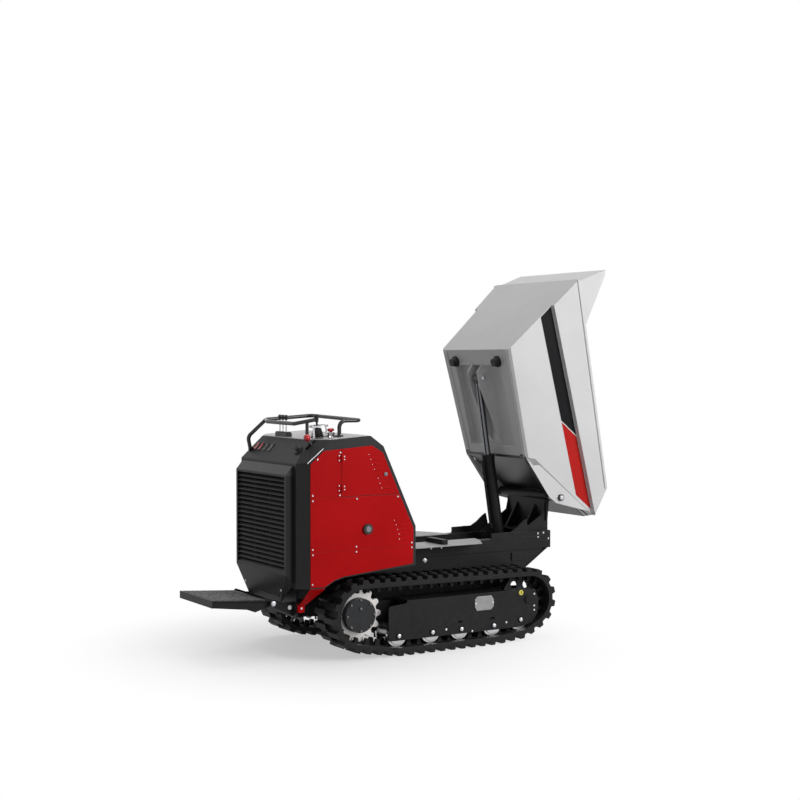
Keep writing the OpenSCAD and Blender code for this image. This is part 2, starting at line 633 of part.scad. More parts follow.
// controls
module console_plate() {
    rear = body_outline[8][0] + 3;
    color([0.72, 0.72, 0.73]) in_frame() intersection() {
        span_y(-shell_half + 16, shell_half - 40)
            polygon([[rear, top_at(rear) + running], [-496, top_at(-496) + running], [-496, desk_at(-496) - running], [rear, desk_at(rear) - running]]);
        translate([0, 0, 1200]) linear_extrude(height = 120) polygon([[rear, -corner_high[1] + 6], [rear + 84, -shell_half],
            [-490, -shell_half], [-490, shell_half], [rear + 84, shell_half], [rear, corner_high[1] - 6]]);
    }
}
module rocker(k) {
    color(k < 2 ? [0.7, 0.08, 0.08] : [0.4, 0.4, 0.42]) in_frame() on_slope(slope_mid, switch_y[k])
        rotate([90, 0, 0]) translate([0, 0, -13]) linear_extrude(height = 26)
            polygon([[-21, -6], [21, -6], [22, 6], [4, 1.5], [-4, 1.5], [-22, 4]]);
}
module key_switch() {
    color([0.55, 0.55, 0.57]) in_frame() on_slope(slope_mid, key_y) {
        translate([0, 0, -4]) cylinder(h = 14, r = 13);
        translate([-11, -1.5, 9]) cube([22, 3, 24]);
        translate([-13, -2.5, 22]) cube([26, 5, 16]);
    }
}
lever_x = -794;
lever_y = [85 + lever_spacing, 85, 85 - lever_spacing];
bank_z = desk_at(lever_x + 22);
lever_z = bank_z + 12;
module lever_bank() {
    color([0.1, 0.1, 0.1]) in_frame() {
        difference() {
            span_y(lever_y[2] - 32, lever_y[0] + 32) polygon([[lever_x - 16, desk_at(lever_x - 16)],
                [lever_x + 22, desk_at(lever_x + 22)], [lever_x + 22, bank_z + 14], [lever_x + 14, bank_z + 26],
                [lever_x - 11, bank_z + 26], [lever_x - 16, bank_z + 18]]);
            for (y = lever_y) box_at(lever_x - 9.5, lever_x + 9.5, y - 6.3, y + 6.3, bank_z + 1, bank_z + 30);
        }
        rod_y(lever_x, lever_z, 3, lever_y[2] - 28, lever_y[0] + 28);
    }
}
module lever(k) {
    y = lever_y[k];
    color([0.7, 0.7, 0.72]) in_frame() difference() {
        union() {
            rod_y(lever_x, lever_z, 8, y - 6, y + 6);
            translate([lever_x, y, lever_z + 4]) cylinder(h = 84, r = 4.5);
            translate([lever_x, y, lever_z + 84]) cylinder(h = 20, r1 = 8, r2 = 12);
            translate([lever_x, y, lever_z + 103]) sphere(r = 12.2);
        }
        rod_y(lever_x, lever_z, 3 + running, y - 10, y + 10);
    }
}
module throttle_lever() {
    color([0.7, 0.05, 0.06]) in_frame() difference() {
        union() {
            rod_y(throttle_at[0], throttle_at[1], 9, throttle_y - 8, throttle_y + 8);
            translate([throttle_at[0], throttle_y, throttle_at[1]]) rotate([0, throttle_lean, 0]) {
                translate([0, 0, 4]) cylinder(h = throttle_reach - 10, r = 5.5);
                translate([0, 0, throttle_reach]) sphere(r = ball_radius);
            }
        }
        rod_y(throttle_at[0], throttle_at[1], 4 + running, throttle_y - 20, throttle_y + 20);
    }
}
stick_x = -716;
stick_y = -200;
pivot_up = 18;
module joystick_gimbal() {
    color([0.5, 0.5, 0.52]) in_frame() on_desk(stick_x, stick_y) {
        translate([-24, 0, pivot_up]) rotate([0, 90, 0]) cylinder(h = 48, r = 5);
        box_at(-7, 7, -7, 7, pivot_up - 7, pivot_up + 7);
        rod_y(0, pivot_up, 3, -14, 14);
    }
}
module joystick() {
    color([0.09, 0.09, 0.09]) in_frame() on_desk(stick_x, stick_y) difference() {
        union() {
            for (s = [-1, 1]) box_at(-6, 6, s * 7.6, s * 13, pivot_up - 6, pivot_up + 16);
            box_at(-6, 6, -13, 13, pivot_up + 11, pivot_up + 17);
            translate([0, 0, pivot_up + 12]) cylinder(h = 62, r = 6);
            translate([0, 0, pivot_up + 46]) cylinder(h = 5, r = 24);
            translate([0, 0, pivot_up + 68]) cylinder(h = 40, r1 = 10, r2 = 15);
            translate([0, 0, pivot_up + 107]) cylinder(h = 8, r1 = 15, r2 = 11);
        }
        rod_y(0, pivot_up, 3 + running, -20, 20);
    }
}
module joystick_boot() {
    color([0.08, 0.08, 0.08]) in_frame() on_desk(stick_x, stick_y) {
        difference() {
            cylinder(h = 8, r = 40);
            translate([0, 0, -2]) cylinder(h = 20, r = 30);
        }
        translate([0, 0, 8]) rotate_extrude()
            polygon([[31, -2], [38, -2], [38, 4], [32, 9], [36, 14], [36, 17], [30, 22], [33, 27], [33, 30], [27, 35],
                [29, 39], [29, 42], [21, 46], [21, 43], [25, 39], [23, 35], [28, 28], [26, 22], [31, 15], [28, 9]]);
        for (s = [-1, 1]) difference() {
            union() {
                translate([s * 23 - 8.7, 0, pivot_up]) rotate([0, 90, 0]) cylinder(h = 17.4, r = 8);
                box_at(s * 15, s * 31.6, -6, 6, 0, pivot_up - 3);
            }
            translate([s * 23 - 10, 0, pivot_up]) rotate([0, 90, 0]) cylinder(h = 20, r = 5 + running);
        }
    }
}
stop_x = -654;
stop_y = -250;
module stop_body() {
    color([0.7, 0.7, 0.7]) in_frame() on_desk(stop_x, stop_y) difference() {
        union() {
            cylinder(h = 24, r = 19);
            box_at(-26, 26, -26, 26, 0, 4);
        }
        translate([0, 0, 4]) cylinder(h = 40, r = 8 + running);
    }
}
module stop_button() {
    color([0.75, 0.05, 0.06]) in_frame() on_desk(stop_x, stop_y) {
        translate([0, 0, 10]) cylinder(h = 24, r = 8);
        translate([0, 0, 30]) cylinder(h = 10, r1 = 17, r2 = 22);
        translate([0, 0, 40]) cylinder(h = 7, r1 = 22, r2 = 15);
    }
}
foot_along = 66;
rail_side = 306;
foot_at = slope_at(foot_along) + [-slope_dir[1], slope_dir[0]] * 11.5;
rail_foot = [foot_at[0], rail_side, foot_at[1]];
module handrail() {
    color([0.1, 0.1, 0.1]) in_frame() {
        tube_run([[-627, -300, desk_at(-627) + 4], [-627, -300, 1372], [-481, -300, 1372], [-481, rail_side, 1382],
            [-796, rail_side, 1364], [-918, rail_side, 1262], rail_foot], rail_radius, 40);
        tube_run([[-798, rail_side, 1362], [-832, 215, 1354], [-832, -130, 1354], [-790, -292, 1380]], rail_radius, 40);
        tube_run([[-804, -235, desk_at(-804) + 4], [-804, -235, 1368]], rail_radius - 2, 34);
        on_desk(-627, -300) cylinder(h = 8, r = 24);
        on_desk(-804, -235) cylinder(h = 8, r = 15);
        on_slope(foot_along, rail_side) cylinder(h = 14, r = 15);
    }
}
module strut(s) {
    high = shell_half - shell_sheet - 1;
    color([0.66, 0.06, 0.07]) in_frame() {
        sheet([[-881, s * high, 424.5], [-784, s * high, 424.5], [-864, s * 300, 316], [-898, s * 300, 316]], s * 6);
        box_at(-900, -862, s * 288, s * 310, 280, 328);
    }
}

// operator platform
module platform() {
    deep = 42;
    top_low = platform_z + 16;
    top_high = platform_z + 42;
    front = platform_x - 16;
    arm_in = platform_half - 8;
    color([0.2, 0.2, 0.21]) in_frame() {
        difference() {
            union() {
                sheet([[foot_rear, -platform_half, top_high], [front, -platform_half - 9, top_low],
                    [front, platform_half + 9, top_low], [foot_rear, platform_half, top_high]], -5);
                sheet([[foot_rear, -platform_half, top_high], [foot_rear, -platform_half, top_high - deep],
                    [foot_rear, platform_half, top_high - deep], [foot_rear, platform_half, top_high]], 5);
                for (s = [-1, 1]) {
                    span_y(s * (arm_in - 6), s * arm_in) {
                        polygon([[foot_rear + 2, top_high - 2], [foot_rear + 2, top_high - deep], [-1180, platform_z - 27],
                            [-1130, platform_z - 46], [platform_x - 6, platform_z - 20],
                            [platform_x - 6, platform_z + 18], [front - 2, top_low - 2]]);
                        translate([platform_x, platform_z]) circle(r = 20);
                    }
                }
            }
            rod_y(platform_x, platform_z, 11 + running, -300, 300);
        }
    }
}

// skip and its guard
function skip_side(p, s, out) = [p[0], s * (half_at(p) + out), p[1]];
module at_skip() {
    in_frame() translate([hinge_x, 0, hinge_z]) rotate([0, tip_angle, 0]) translate([-hinge_along, 0, -hinge_up]) children();
}
recess = [100, 632, 243, 40];
rib_in = 48;
rib = 8;
function pan(p, s, half) = [p[0], s * half, p[1]];
floor_rear = half_at([0, 0]) - chamfer_run;
floor_front = half_at([floor_length, 0]) - chamfer_run;
// where the edge of the floor meets the flat facet that leads to the ramp's chamfer
knee_facet = cross(pan(ramp_start, 1, ramp_half) - pan([floor_length, 0], 1, floor_front),
    skip_side(corner_ramp, 1, 0) - pan([floor_length, 0], 1, floor_front));
low_from = skip_side([floor_length, edge_chamfer], 1, 0);
low_shift = (pan([floor_length, 0], 1, floor_front) - low_from) * knee_facet / ([1, taper, 0] * knee_facet);
corner_low = [floor_length + low_shift, edge_chamfer];
rim_dir = unit(rear_top - rim_front);
rim_drop = [-rim_dir[1], rim_dir[0]] * 18;
// point at the listed depths inside three faces that pass through p, from their outward normals
function within(p, a, b, c, depth) = p - (depth[0] * cross(b, c) + depth[1] * cross(c, a) + depth[2] * cross(a, b))
    / (a * cross(b, c));
function facing(p, q, r, way) = let (n = unit(cross(q - p, r - p))) n * way < 0 ? -n : n;
function mirror_y(p) = [p[0], -p[1], p[2]];
// corners of the left half, from the floor up to the rim
skip_outer = [pan([0, 0], 1, floor_rear), pan([floor_length, 0], 1, floor_front), pan(ramp_start, 1, ramp_half),
    pan(ramp_end, 1, ramp_half), skip_side(corner_rear, 1, 0), skip_side(corner_low, 1, 0), skip_side(corner_ramp, 1, 0),
    skip_side(fold_tip, 1, 0), skip_side(fold_rear, 1, 0), skip_side(fold_rear, 1, side_step),
    skip_side(fold_tip, 1, side_step), skip_side(lip, 1, side_step), skip_side(rim_front, 1, side_step),
    skip_side(rear_top, 1, side_step)];
face_floor = [0, 0, -1];
face_knee = facing(skip_outer[1], skip_outer[2], mirror_y(skip_outer[1]), [0, 0, -1]);
face_ramp = facing(skip_outer[2], skip_outer[3], mirror_y(skip_outer[2]), [0, 0, -1]);
face_rear = facing(skip_outer[0], skip_outer[13], mirror_y(skip_outer[0]), [-1, 0, 0]);
face_side = facing(skip_outer[4], skip_outer[5], skip_outer[8], [0, 1, 0]);
face_ledge = facing(skip_outer[8], skip_outer[7], skip_outer[10], [0, 0, -1]);
face_edge = facing(skip_outer[0], skip_outer[1], skip_outer[4], [0, 1, 0]);
face_turn = facing(skip_outer[1], skip_outer[2], skip_outer[5], [0, 1, 0]);
face_slant = facing(skip_outer[2], skip_outer[3], skip_outer[6], [0, 1, 0]);
ramp_way = [ramp_dir[0], 0, ramp_dir[1]];
rim_way = [rim_dir[0], 0, rim_dir[1]];
rim_up = cross(rim_way, face_side);
skip_faces_at = [[face_floor, face_edge, face_rear], [face_floor, face_knee, face_edge], [face_ramp, face_slant, ramp_way],
    [face_ramp, face_slant, ramp_way], [face_side, face_edge, face_rear], [face_side, face_edge, face_turn],
    [face_side, face_slant, ramp_way], [face_side, face_ledge, ramp_way], [face_side, face_ledge, face_rear],
    [face_side, face_ledge, face_rear], [face_side, face_ledge, [1, 0, 0]], [face_side, rim_way, rim_up],
    [face_side, rim_way, rim_up], [face_side, face_rear, rim_up]];
skip_depth_at = [[1, 1, 1], [1, 1, 1], [1, 1, 0], [1, 1, 0], [1, 1, 1], [1, 1, 1], [1, 1, 0], [1, 1, 0], [1, 1, 1],
    [1, 1, 1], [1, 1, 0], [1, 0, 0], [1, 0, 0], [1, 1, 0]];
skip_inner = [for (i = [0 : 13]) within(skip_outer[i], skip_faces_at[i][0], skip_faces_at[i][1], skip_faces_at[i][2],
    skip_sheet * skip_depth_at[i])];
skip_points = [each skip_outer, for (p = skip_outer) mirror_y(p), each skip_inner, for (p = skip_inner) mirror_y(p)];
skip_side_faces = [[4, 5, 6, 7, 8], [8, 7, 10, 9], [9, 10, 11, 12, 13], [0, 1, 5, 4], [1, 2, 6, 5], [2, 3, 7, 6]];
skip_cross_faces = [[0, 4, 18, 14], [4, 8, 22, 18], [13, 27, 23, 22, 8, 9], [1, 0, 14, 15], [2, 1, 15, 16], [3, 2, 16, 17]];
function turned(f, shift) = [f[0] + shift, for (i = [len(f) - 1 : -1 : 1]) f[i] + shift];
skip_skin = [each skip_side_faces, for (f = skip_side_faces) turned(f, 14), each skip_cross_faces];
skip_mouth = [3, 7, 10, 11, 12, 13, 27, 26, 25, 24, 21, 17];
module skip_shell() {
    n = len(skip_mouth);
    polyhedron(points = skip_points, faces = [each skip_skin,
        for (f = skip_skin) turned(f, 28),
        for (i = [0 : n - 1]) let (a = skip_mouth[i], b = skip_mouth[(i + 1) % n]) [b, a, a + 28, b + 28]]);
}
module skip_side_set(s) {
    edge = [rim_front + rim_dir * 1.5, rear_top - rim_dir * 1.5];
    sheet([for (p = [edge[0] + rim_drop, edge[0] + rim_drop / 12, edge[1] + rim_drop / 12, edge[1] + rim_drop])
        skip_side(p, s, side_step - 1)], s * -7);
    sheet([pan([8, 1], s, floor_rear - 8), pan([floor_length - 8, 1], s, floor_front - 8),
        pan([floor_length - 8, 1], s, floor_front - 46), pan([8, 1], s, floor_rear - 46)], s * 6);
    difference() {
        span_y(s * ear_in, s * ear_out) ear_outline();
        slant_block(s);
    }
    span_y(s * rib_in, s * (rib_in + rib))
        polygon([[52, 2], [98, -4], [135, -50], [228, -50], [560, 14], [612, 42], [102, 42], [98, 2]]);
    rod_y(eye_along, eye_up, 22, s * (rib_in + rib - 1), s * (rib_in + rib + 8));
}
module ear_outline() {
    difference() {
        union() {
            polygon([[floor_length - 2, 3], [hinge_along - 27, hinge_up - 84], [hinge_along + 26, hinge_up - 36],
                ramp_end - ramp_dir * 12 + ramp_up * 34, ramp_start + ramp_dir * 60 + ramp_up * 34,
                ramp_start + ramp_dir * 20 + ramp_up]);
            translate([hinge_along, hinge_up]) circle(r = 36);
        }
        translate([hinge_along, hinge_up]) circle(r = pin_radius + running);
    }
}
// the space above the middle of the slanted sheet beside the ramp
module slant_block(s) {
    run = skip_outer[3] - skip_outer[2];
    rise = skip_outer[6] - skip_outer[2];
    base = skip_outer[2] - face_slant * skip_sheet / 2;
    points = [base - run * 0.4 - rise * 1.5, base + run * 1.2 - rise * 1.5, base + run * 1.2 + rise * 2, base - run * 0.4 + rise * 2];
    n = cross(run, rise);
    sheet([for (q = points) [q[0], s * q[1], q[2]]], n * face_slant * s > 0 ? -90 : 90);
}
module skip() {
    t = skip_sheet;
    color([0.8, 0.8, 0.81]) at_skip() union() {
        difference() {
            union() {
                skip_shell();
                box_at(recess[0] - t, recess[1] + t, -recess[2] - t, recess[2] + t, 1, recess[3] + t);
            }
            box_at(recess[0], recess[1], -recess[2], recess[2], -5, recess[3]);
        }
        for (s = [-1, 1]) skip_side_set(s);
    }
}
module spill_guard() {
    g = 4;
    rim_fall = (rear_top[1] - rim_front[1]) / (rim_front[0] - rear_top[0]);
    lap = 30;
    out = side_step - skip_sheet * sqrt(1 + taper * taper + flare * flare) - 0.05;
    low = [rear_top[0] + 12, rear_top[1] + 4];
    high = low + [-26, guard_height];
    front = [-20, rear_top[1] - rim_fall * (-20 - rear_top[0])];
    color([0.82, 0.82, 0.83]) at_skip() {
        for (s = [-1, 1]) sheet([for (p = [low + [20, -lap], front + [0, -lap], front + [0, 4], high + [36, -15], high, low])
            skip_side(p, s, out)], s * g);
        sheet([skip_side(low, -1, out - 1), skip_side(high, -1, out - 1), skip_side(high, 1, out - 1),
            skip_side(low, 1, out - 1)], -g);
    }
}
module buffer(s) {
    drop = hinge_z - hinge_up - deck_z - 6 - 2;
    color([0.06, 0.06, 0.06]) at_skip() translate([76, s * 232, -drop]) {
        cylinder(h = drop - 9, r1 = 24, r2 = 30);
        translate([0, 0, drop - 9.2]) cylinder(h = 9.2, r = 36);
    }
}
module along_cylinder() {
    in_frame() translate([base_pin[0], 0, base_pin[1]]) rotate([0, 90 - lean, 0]) children();
}
bore_radius = barrel_radius - 7;
gland = 22;
module tip_barrel() {
    color([0.1, 0.1, 0.1]) along_cylinder() {
        difference() {
            union() {
                translate([0, 0, 34]) cylinder(h = barrel_length - 34, r = barrel_radius);
                translate([0, 0, barrel_length - 30]) cylinder(h = 30, r = barrel_radius + 4);
                rod_y(0, 0, 34, -pin_half + 1, pin_half - 1);
                box_at(-30, 30, -pin_half + 1, pin_half - 1, 10, 40);
            }
            translate([0, 0, 42]) cylinder(h = barrel_length - 42 - gland, r = bore_radius);
            translate([0, 0, 60]) cylinder(h = barrel_length, r = rod_radius + running);
            rod_y(0, 0, pin_radius + running, -60, 60);
        }
        translate([-barrel_radius - 9, 0, 90]) cylinder(h = barrel_length - 120, r = 7);
        for (z = [90, barrel_length - 60]) box_at(-barrel_radius - 12, -barrel_radius + 5, -10, 10, z, z + 26);
    }
}
module tip_rod() {
    head = barrel_length - gland - 31;
    color([0.8, 0.8, 0.82]) along_cylinder() {
        translate([0, 0, head]) cylinder(h = 26, r = bore_radius - running);
        translate([0, 0, head]) cylinder(h = reach_out - head - 10, r = rod_radius);
        rod_y(0, reach_out, 25, -30, 30);
        rod_y(0, reach_out, pin_radius, -rib_in + 2, rib_in - 2);
    }
}

// what the shell covers
module engine() {
    color([0.3, 0.3, 0.32]) in_frame() {
        box_at(-640, -330, -150, 120, deck_z, deck_z + 330);
        box_at(-600, -370, -120, 90, deck_z + 329, deck_z + 420);
        translate([-640, -15, deck_z + 170]) rotate([0, -90, 0]) cylinder(h = 40, r = 130);
        translate([-679, -15, deck_z + 170]) rotate([0, -90, 0]) cylinder(h = 30, r = 60);
        rod_y(-480, deck_z + 360, 55, 118, 300);
        box_at(-330, -230, -60, 60, deck_z + 60, deck_z + 160);
    }
}
module oil_tank() {
    color([0.25, 0.25, 0.27]) in_frame() {
        box_at(-880, -760, -330, 330, deck_z, deck_z + 300);
        translate([-820, -240, deck_z + 299]) cylinder(h = 40, r = 32);
        translate([-820, 240, deck_z + 299]) cylinder(h = 40, r = 32);
    }
}

module rubber(s) { color([0.07, 0.07, 0.07]) in_frame() belt(s); }
module frame_side_set(s) { color([0.12, 0.12, 0.13]) in_frame() track_frame(s); }
module hub_set(s) { color([0.1, 0.1, 0.1]) in_frame() hub(s); }
module sprocket_set(s) { color([0.75, 0.75, 0.76]) in_frame() sprocket(s); }
module idler_set(s) { color([0.35, 0.35, 0.36]) in_frame() idler(s); }
module roller_set(s, k) { color([0.6, 0.6, 0.62]) in_frame() roller(s, k); }

chassis();
deck_plate(-1);  // deck_plate_right
deck_plate(1);  // deck_plate_left
frame_side_set(-1);  // track_frame_right
frame_side_set(1);  // track_frame_left
rubber(-1);  // track_belt_right
rubber(1);  // track_belt_left
hub_set(-1);  // hub_right
hub_set(1);  // hub_left
sprocket_set(-1);  // sprocket_right
sprocket_set(1);  // sprocket_left
idler_set(-1);  // idler_right
idler_set(1);  // idler_left
roller_set(-1, 0);  // roller_right_1
roller_set(-1, 1);  // roller_right_2
roller_set(-1, 2);  // roller_right_3
roller_set(-1, 3);  // roller_right_4
roller_set(-1, 4);  // roller_right_5
roller_set(1, 0);  // roller_left_1
roller_set(1, 1);  // roller_left_2
roller_set(1, 2);  // roller_left_3
roller_set(1, 3);  // roller_left_4
roller_set(1, 4);  // roller_left_5
body_shell();
side_panel(-1);  // side_panel_right
side_panel(1);  // side_panel_left
door(-1);  // door_right
door(1);  // door_left
latch(-1);  // latch_right
latch(1);  // latch_left
filler_cap();
rear_grille();
console_plate();
rocker(0);  // rocker_1
rocker(1);  // rocker_2
rocker(2);  // rocker_3
rocker(3);  // rocker_4
key_switch();
lever_bank();
lever(0);  // lever_1
lever(1);  // lever_2
lever(2);  // lever_3
throttle_lever();
joystick_gimbal();
joystick();
joystick_boot();
stop_body();
stop_button();
handrail();
strut(-1);  // strut_right
strut(1);  // strut_left
platform();
skip();
spill_guard();
buffer(-1);  // buffer_right
buffer(1);  // buffer_left
tip_barrel();
tip_rod();
engine();
oil_tank();
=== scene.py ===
import json
import math

import bmesh
import bpy
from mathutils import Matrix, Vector


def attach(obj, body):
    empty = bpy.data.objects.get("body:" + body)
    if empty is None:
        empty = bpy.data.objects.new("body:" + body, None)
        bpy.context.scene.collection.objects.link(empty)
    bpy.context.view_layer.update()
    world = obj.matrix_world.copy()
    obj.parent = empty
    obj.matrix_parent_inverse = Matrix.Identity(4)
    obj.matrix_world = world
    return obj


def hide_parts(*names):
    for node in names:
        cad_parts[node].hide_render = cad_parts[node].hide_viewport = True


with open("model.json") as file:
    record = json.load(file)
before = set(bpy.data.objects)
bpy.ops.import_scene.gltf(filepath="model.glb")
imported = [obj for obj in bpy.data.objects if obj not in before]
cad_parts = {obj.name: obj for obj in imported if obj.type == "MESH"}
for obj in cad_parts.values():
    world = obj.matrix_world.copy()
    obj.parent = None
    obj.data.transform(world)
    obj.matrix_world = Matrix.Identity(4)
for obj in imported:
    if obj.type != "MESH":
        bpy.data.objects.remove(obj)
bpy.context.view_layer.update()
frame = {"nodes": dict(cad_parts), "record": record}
cadNodes = frame["nodes"]
print("frame loaded:", len(cadNodes), "nodes")

# places are given in millimetres in the machine's own frame, +X to the skip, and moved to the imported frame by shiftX
machine = {"shiftX": 47.914, "bodyHalf": 416.0, "trackPlate": 453.0}
skipPlace = {"hingeX": 961.0, "hingeZ": 854.0, "hingeAlong": 1012.0, "hingeUp": 203.0, "tip": 76.5,
             "floorHalf": 376.0, "taper": -0.0506, "flare": 0.0464}
sides = {"right": -1, "left": 1}


def at(x, y, z):
    return Vector((x + machine["shiftX"], y, z)) / 1000


def skipHalf(along, up):
    return skipPlace["floorHalf"] + skipPlace["taper"] * along + skipPlace["flare"] * up


def onSkip(along, y, up):
    turn = math.radians(skipPlace["tip"])
    a, h = along - skipPlace["hingeAlong"], up - skipPlace["hingeUp"]
    return at(skipPlace["hingeX"] + a * math.cos(turn) + h * math.sin(turn), y,
              skipPlace["hingeZ"] - a * math.sin(turn) + h * math.cos(turn))


def linear(red, green, blue):
    steps = [c / 255 for c in (red, green, blue)]
    return tuple(c / 12.92 if c < 0.04045 else ((c + 0.055) / 1.055) ** 2.4 for c in steps) + (1.0,)


def shade(colour, factor):
    return tuple(min(c * factor, 1.0) for c in colour[:3]) + (1.0,)


# a socket that can be added, multiplied and so on, and that places further nodes in its tree
class Wire:
    def __init__(self, tree, socket=None):
        self.tree, self.socket = tree, socket

    def feed(self, target, value):
        if isinstance(value, Wire):
            self.tree.links.new(value.socket, target)
        else:
            target.default_value = value

    def node(self, kind, settings=None, sockets=None, out=0):
        made = self.tree.nodes.new(kind)
        for name, value in (settings or {}).items():
            setattr(made, name, value)
        for name, value in (sockets or {}).items():
            for one in value if isinstance(value, list) else [value]:
                self.feed(made.inputs[name], one)
        return Wire(self.tree, made.outputs[out]) if made.outputs else None

    def maths(self, operation, first, second):
        return self.node("ShaderNodeMath", {"operation": operation}, {0: first, 1: second})

    def vector(self, operation, first, second, out=0):
        return self.node("ShaderNodeVectorMath", {"operation": operation}, {0: first, 1: second}, out)

    def __add__(self, other):
        return self.maths("ADD", self, other)

    def __radd__(self, other):
        return self.maths("ADD", other, self)

    def __sub__(self, other):
        return self.maths("SUBTRACT", self, other)

    def __rsub__(self, other):
        return self.maths("SUBTRACT", other, self)

    def __mul__(self, other):
        return self.maths("MULTIPLY", self, other)

    def __rmul__(self, other):
        return self.maths("MULTIPLY", other, self)

    def __truediv__(self, other):
        return self.maths("DIVIDE", self, other)

    def __mod__(self, other):
        return self.maths("MODULO", self, other)

    def clamp(self):
        return self.node("ShaderNodeClamp", None, {0: self})

    def above(self, level, soft):
        return self.node("ShaderNodeMapRange", {"clamp": True, "interpolation_type": "SMOOTHSTEP"},
                         {"Value": self, "From Min": level - soft, "From Max": level + soft})

    def blend(self, first, second):
        return self.node("ShaderNodeMix", {"data_type": "RGBA"}, {0: self, 6: first, 7: second}, 2)


# camera at the photograph's angle, floor and studio light
photoView = {"place": (-4826.55, -7841.81, 1712.21), "turn": -0.553572, "down": 0.0253683, "lens": 67.218,
             "sensor": 36.0, "clip": 200.0}
studio = {
    "ambient": 0.2,
    "lamps": {
        "keySide": {"place": (3.6, -7.0, 4.0), "aim": (0.3, 0.0, 0.9), "size": 4.5, "power": 465},
        "top": {"place": (-0.2, 0.4, 6.4), "aim": (0.0, 0.0, 0.6), "size": 4.5, "power": 95},
        "rearFill": {"place": (-7.0, -2.2, 2.6), "aim": (-0.4, 0.0, 0.8), "size": 4.0, "power": 7},
    },
    "floorTone": 0.94, "floorBounce": 0.5, "floorReach": 60.0, "nearWhite": 0.48, "fadeCentre": (-0.35, 0.0, 0.0),
    "fadeFrom": 0.3, "fadeTo": 1.8,
}


def seenRays(start):
    rays = [start.node("ShaderNodeLightPath", None, None, name)
            for name in ("Is Camera Ray", "Is Glossy Ray", "Is Transmission Ray")]
    return (rays[0] + rays[1] + rays[2]).clamp()


def makeCamera():
    eye = bpy.data.objects.new("photoCamera", bpy.data.cameras.new("photoCamera"))
    eye.data.lens, eye.data.sensor_width = photoView["lens"], photoView["sensor"]
    eye.data.clip_end = photoView["clip"]
    eye.location = Vector(photoView["place"]) / 1000
    eye.rotation_euler = (math.pi / 2 - photoView["down"], 0, photoView["turn"])
    bpy.context.scene.collection.objects.link(eye)
    bpy.context.scene.camera = eye
    bpy.context.scene.view_settings.view_transform = "Standard"


def makeStudio():
    world = bpy.data.worlds.new("studioAir")
    bpy.context.scene.world = world
    world.use_nodes = True
    world.node_tree.nodes.clear()
    start = Wire(world.node_tree)
    ambient = start.node("ShaderNodeBackground", None, {"Color": (1, 1, 1, 1), "Strength": studio["ambient"]})
    white = start.node("ShaderNodeBackground", None, {"Color": (1, 1, 1, 1), "Strength": 1.0})
    air = start.node("ShaderNodeMixShader", None, {0: seenRays(start), 1: ambient, 2: white})
    start.node("ShaderNodeOutputWorld", None, {"Surface": air})
    for name, lamp in studio["lamps"].items():
        light = bpy.data.lights.new(name, "AREA")
        light.shape, light.size, light.energy = "DISK", lamp["size"], lamp["power"]
        holder = bpy.data.objects.new(name, light)
        holder.location = lamp["place"]
        way = Vector(lamp["aim"]) - Vector(lamp["place"])
        holder.rotation_euler = way.to_track_quat("-Z", "Y").to_euler()
        bpy.context.scene.collection.objects.link(holder)


def makeFloor():
    reach = studio["floorReach"]
    mesh = bpy.data.meshes.new("studioFloor")
    mesh.from_pydata([(-reach, -reach, 0), (reach, -reach, 0), (reach, reach, 0), (-reach, reach, 0)], [],
                     [(0, 1, 2, 3)])
    floor = bpy.data.objects.new("studioFloor", mesh)
    bpy.context.scene.collection.objects.link(floor)
    material = bpy.data.materials.new("paleFloor")
    material.use_nodes = True
    material.node_tree.nodes.clear()
    start = Wire(material.node_tree)
    coords = start.node("ShaderNodeTexCoord", None, None, "Object")
    far = start.vector("DISTANCE", coords, studio["fadeCentre"], "Value")
    fade = far.above((studio["fadeFrom"] + studio["fadeTo"]) / 2, (studio["fadeTo"] - studio["fadeFrom"]) / 2)
    tone = studio["floorTone"]
    seen, bounce = seenRays(start), studio["floorBounce"]
    matt = start.node("ShaderNodeBsdfDiffuse", None,
                      {"Color": seen.blend((bounce, bounce, bounce, 1), (tone, tone, tone, 1))})
    white = start.node("ShaderNodeEmission", None, {"Color": (1, 1, 1, 1), "Strength": 1.0})
    share = (studio["nearWhite"] + fade * (1 - studio["nearWhite"])) * seen
    both = start.node("ShaderNodeMixShader", None, {0: share, 1: matt, 2: white})
    start.node("ShaderNodeOutputMaterial", None, {"Surface": both})
    mesh.materials.append(material)


makeCamera()
makeStudio()
makeFloor()
print("studio ready")

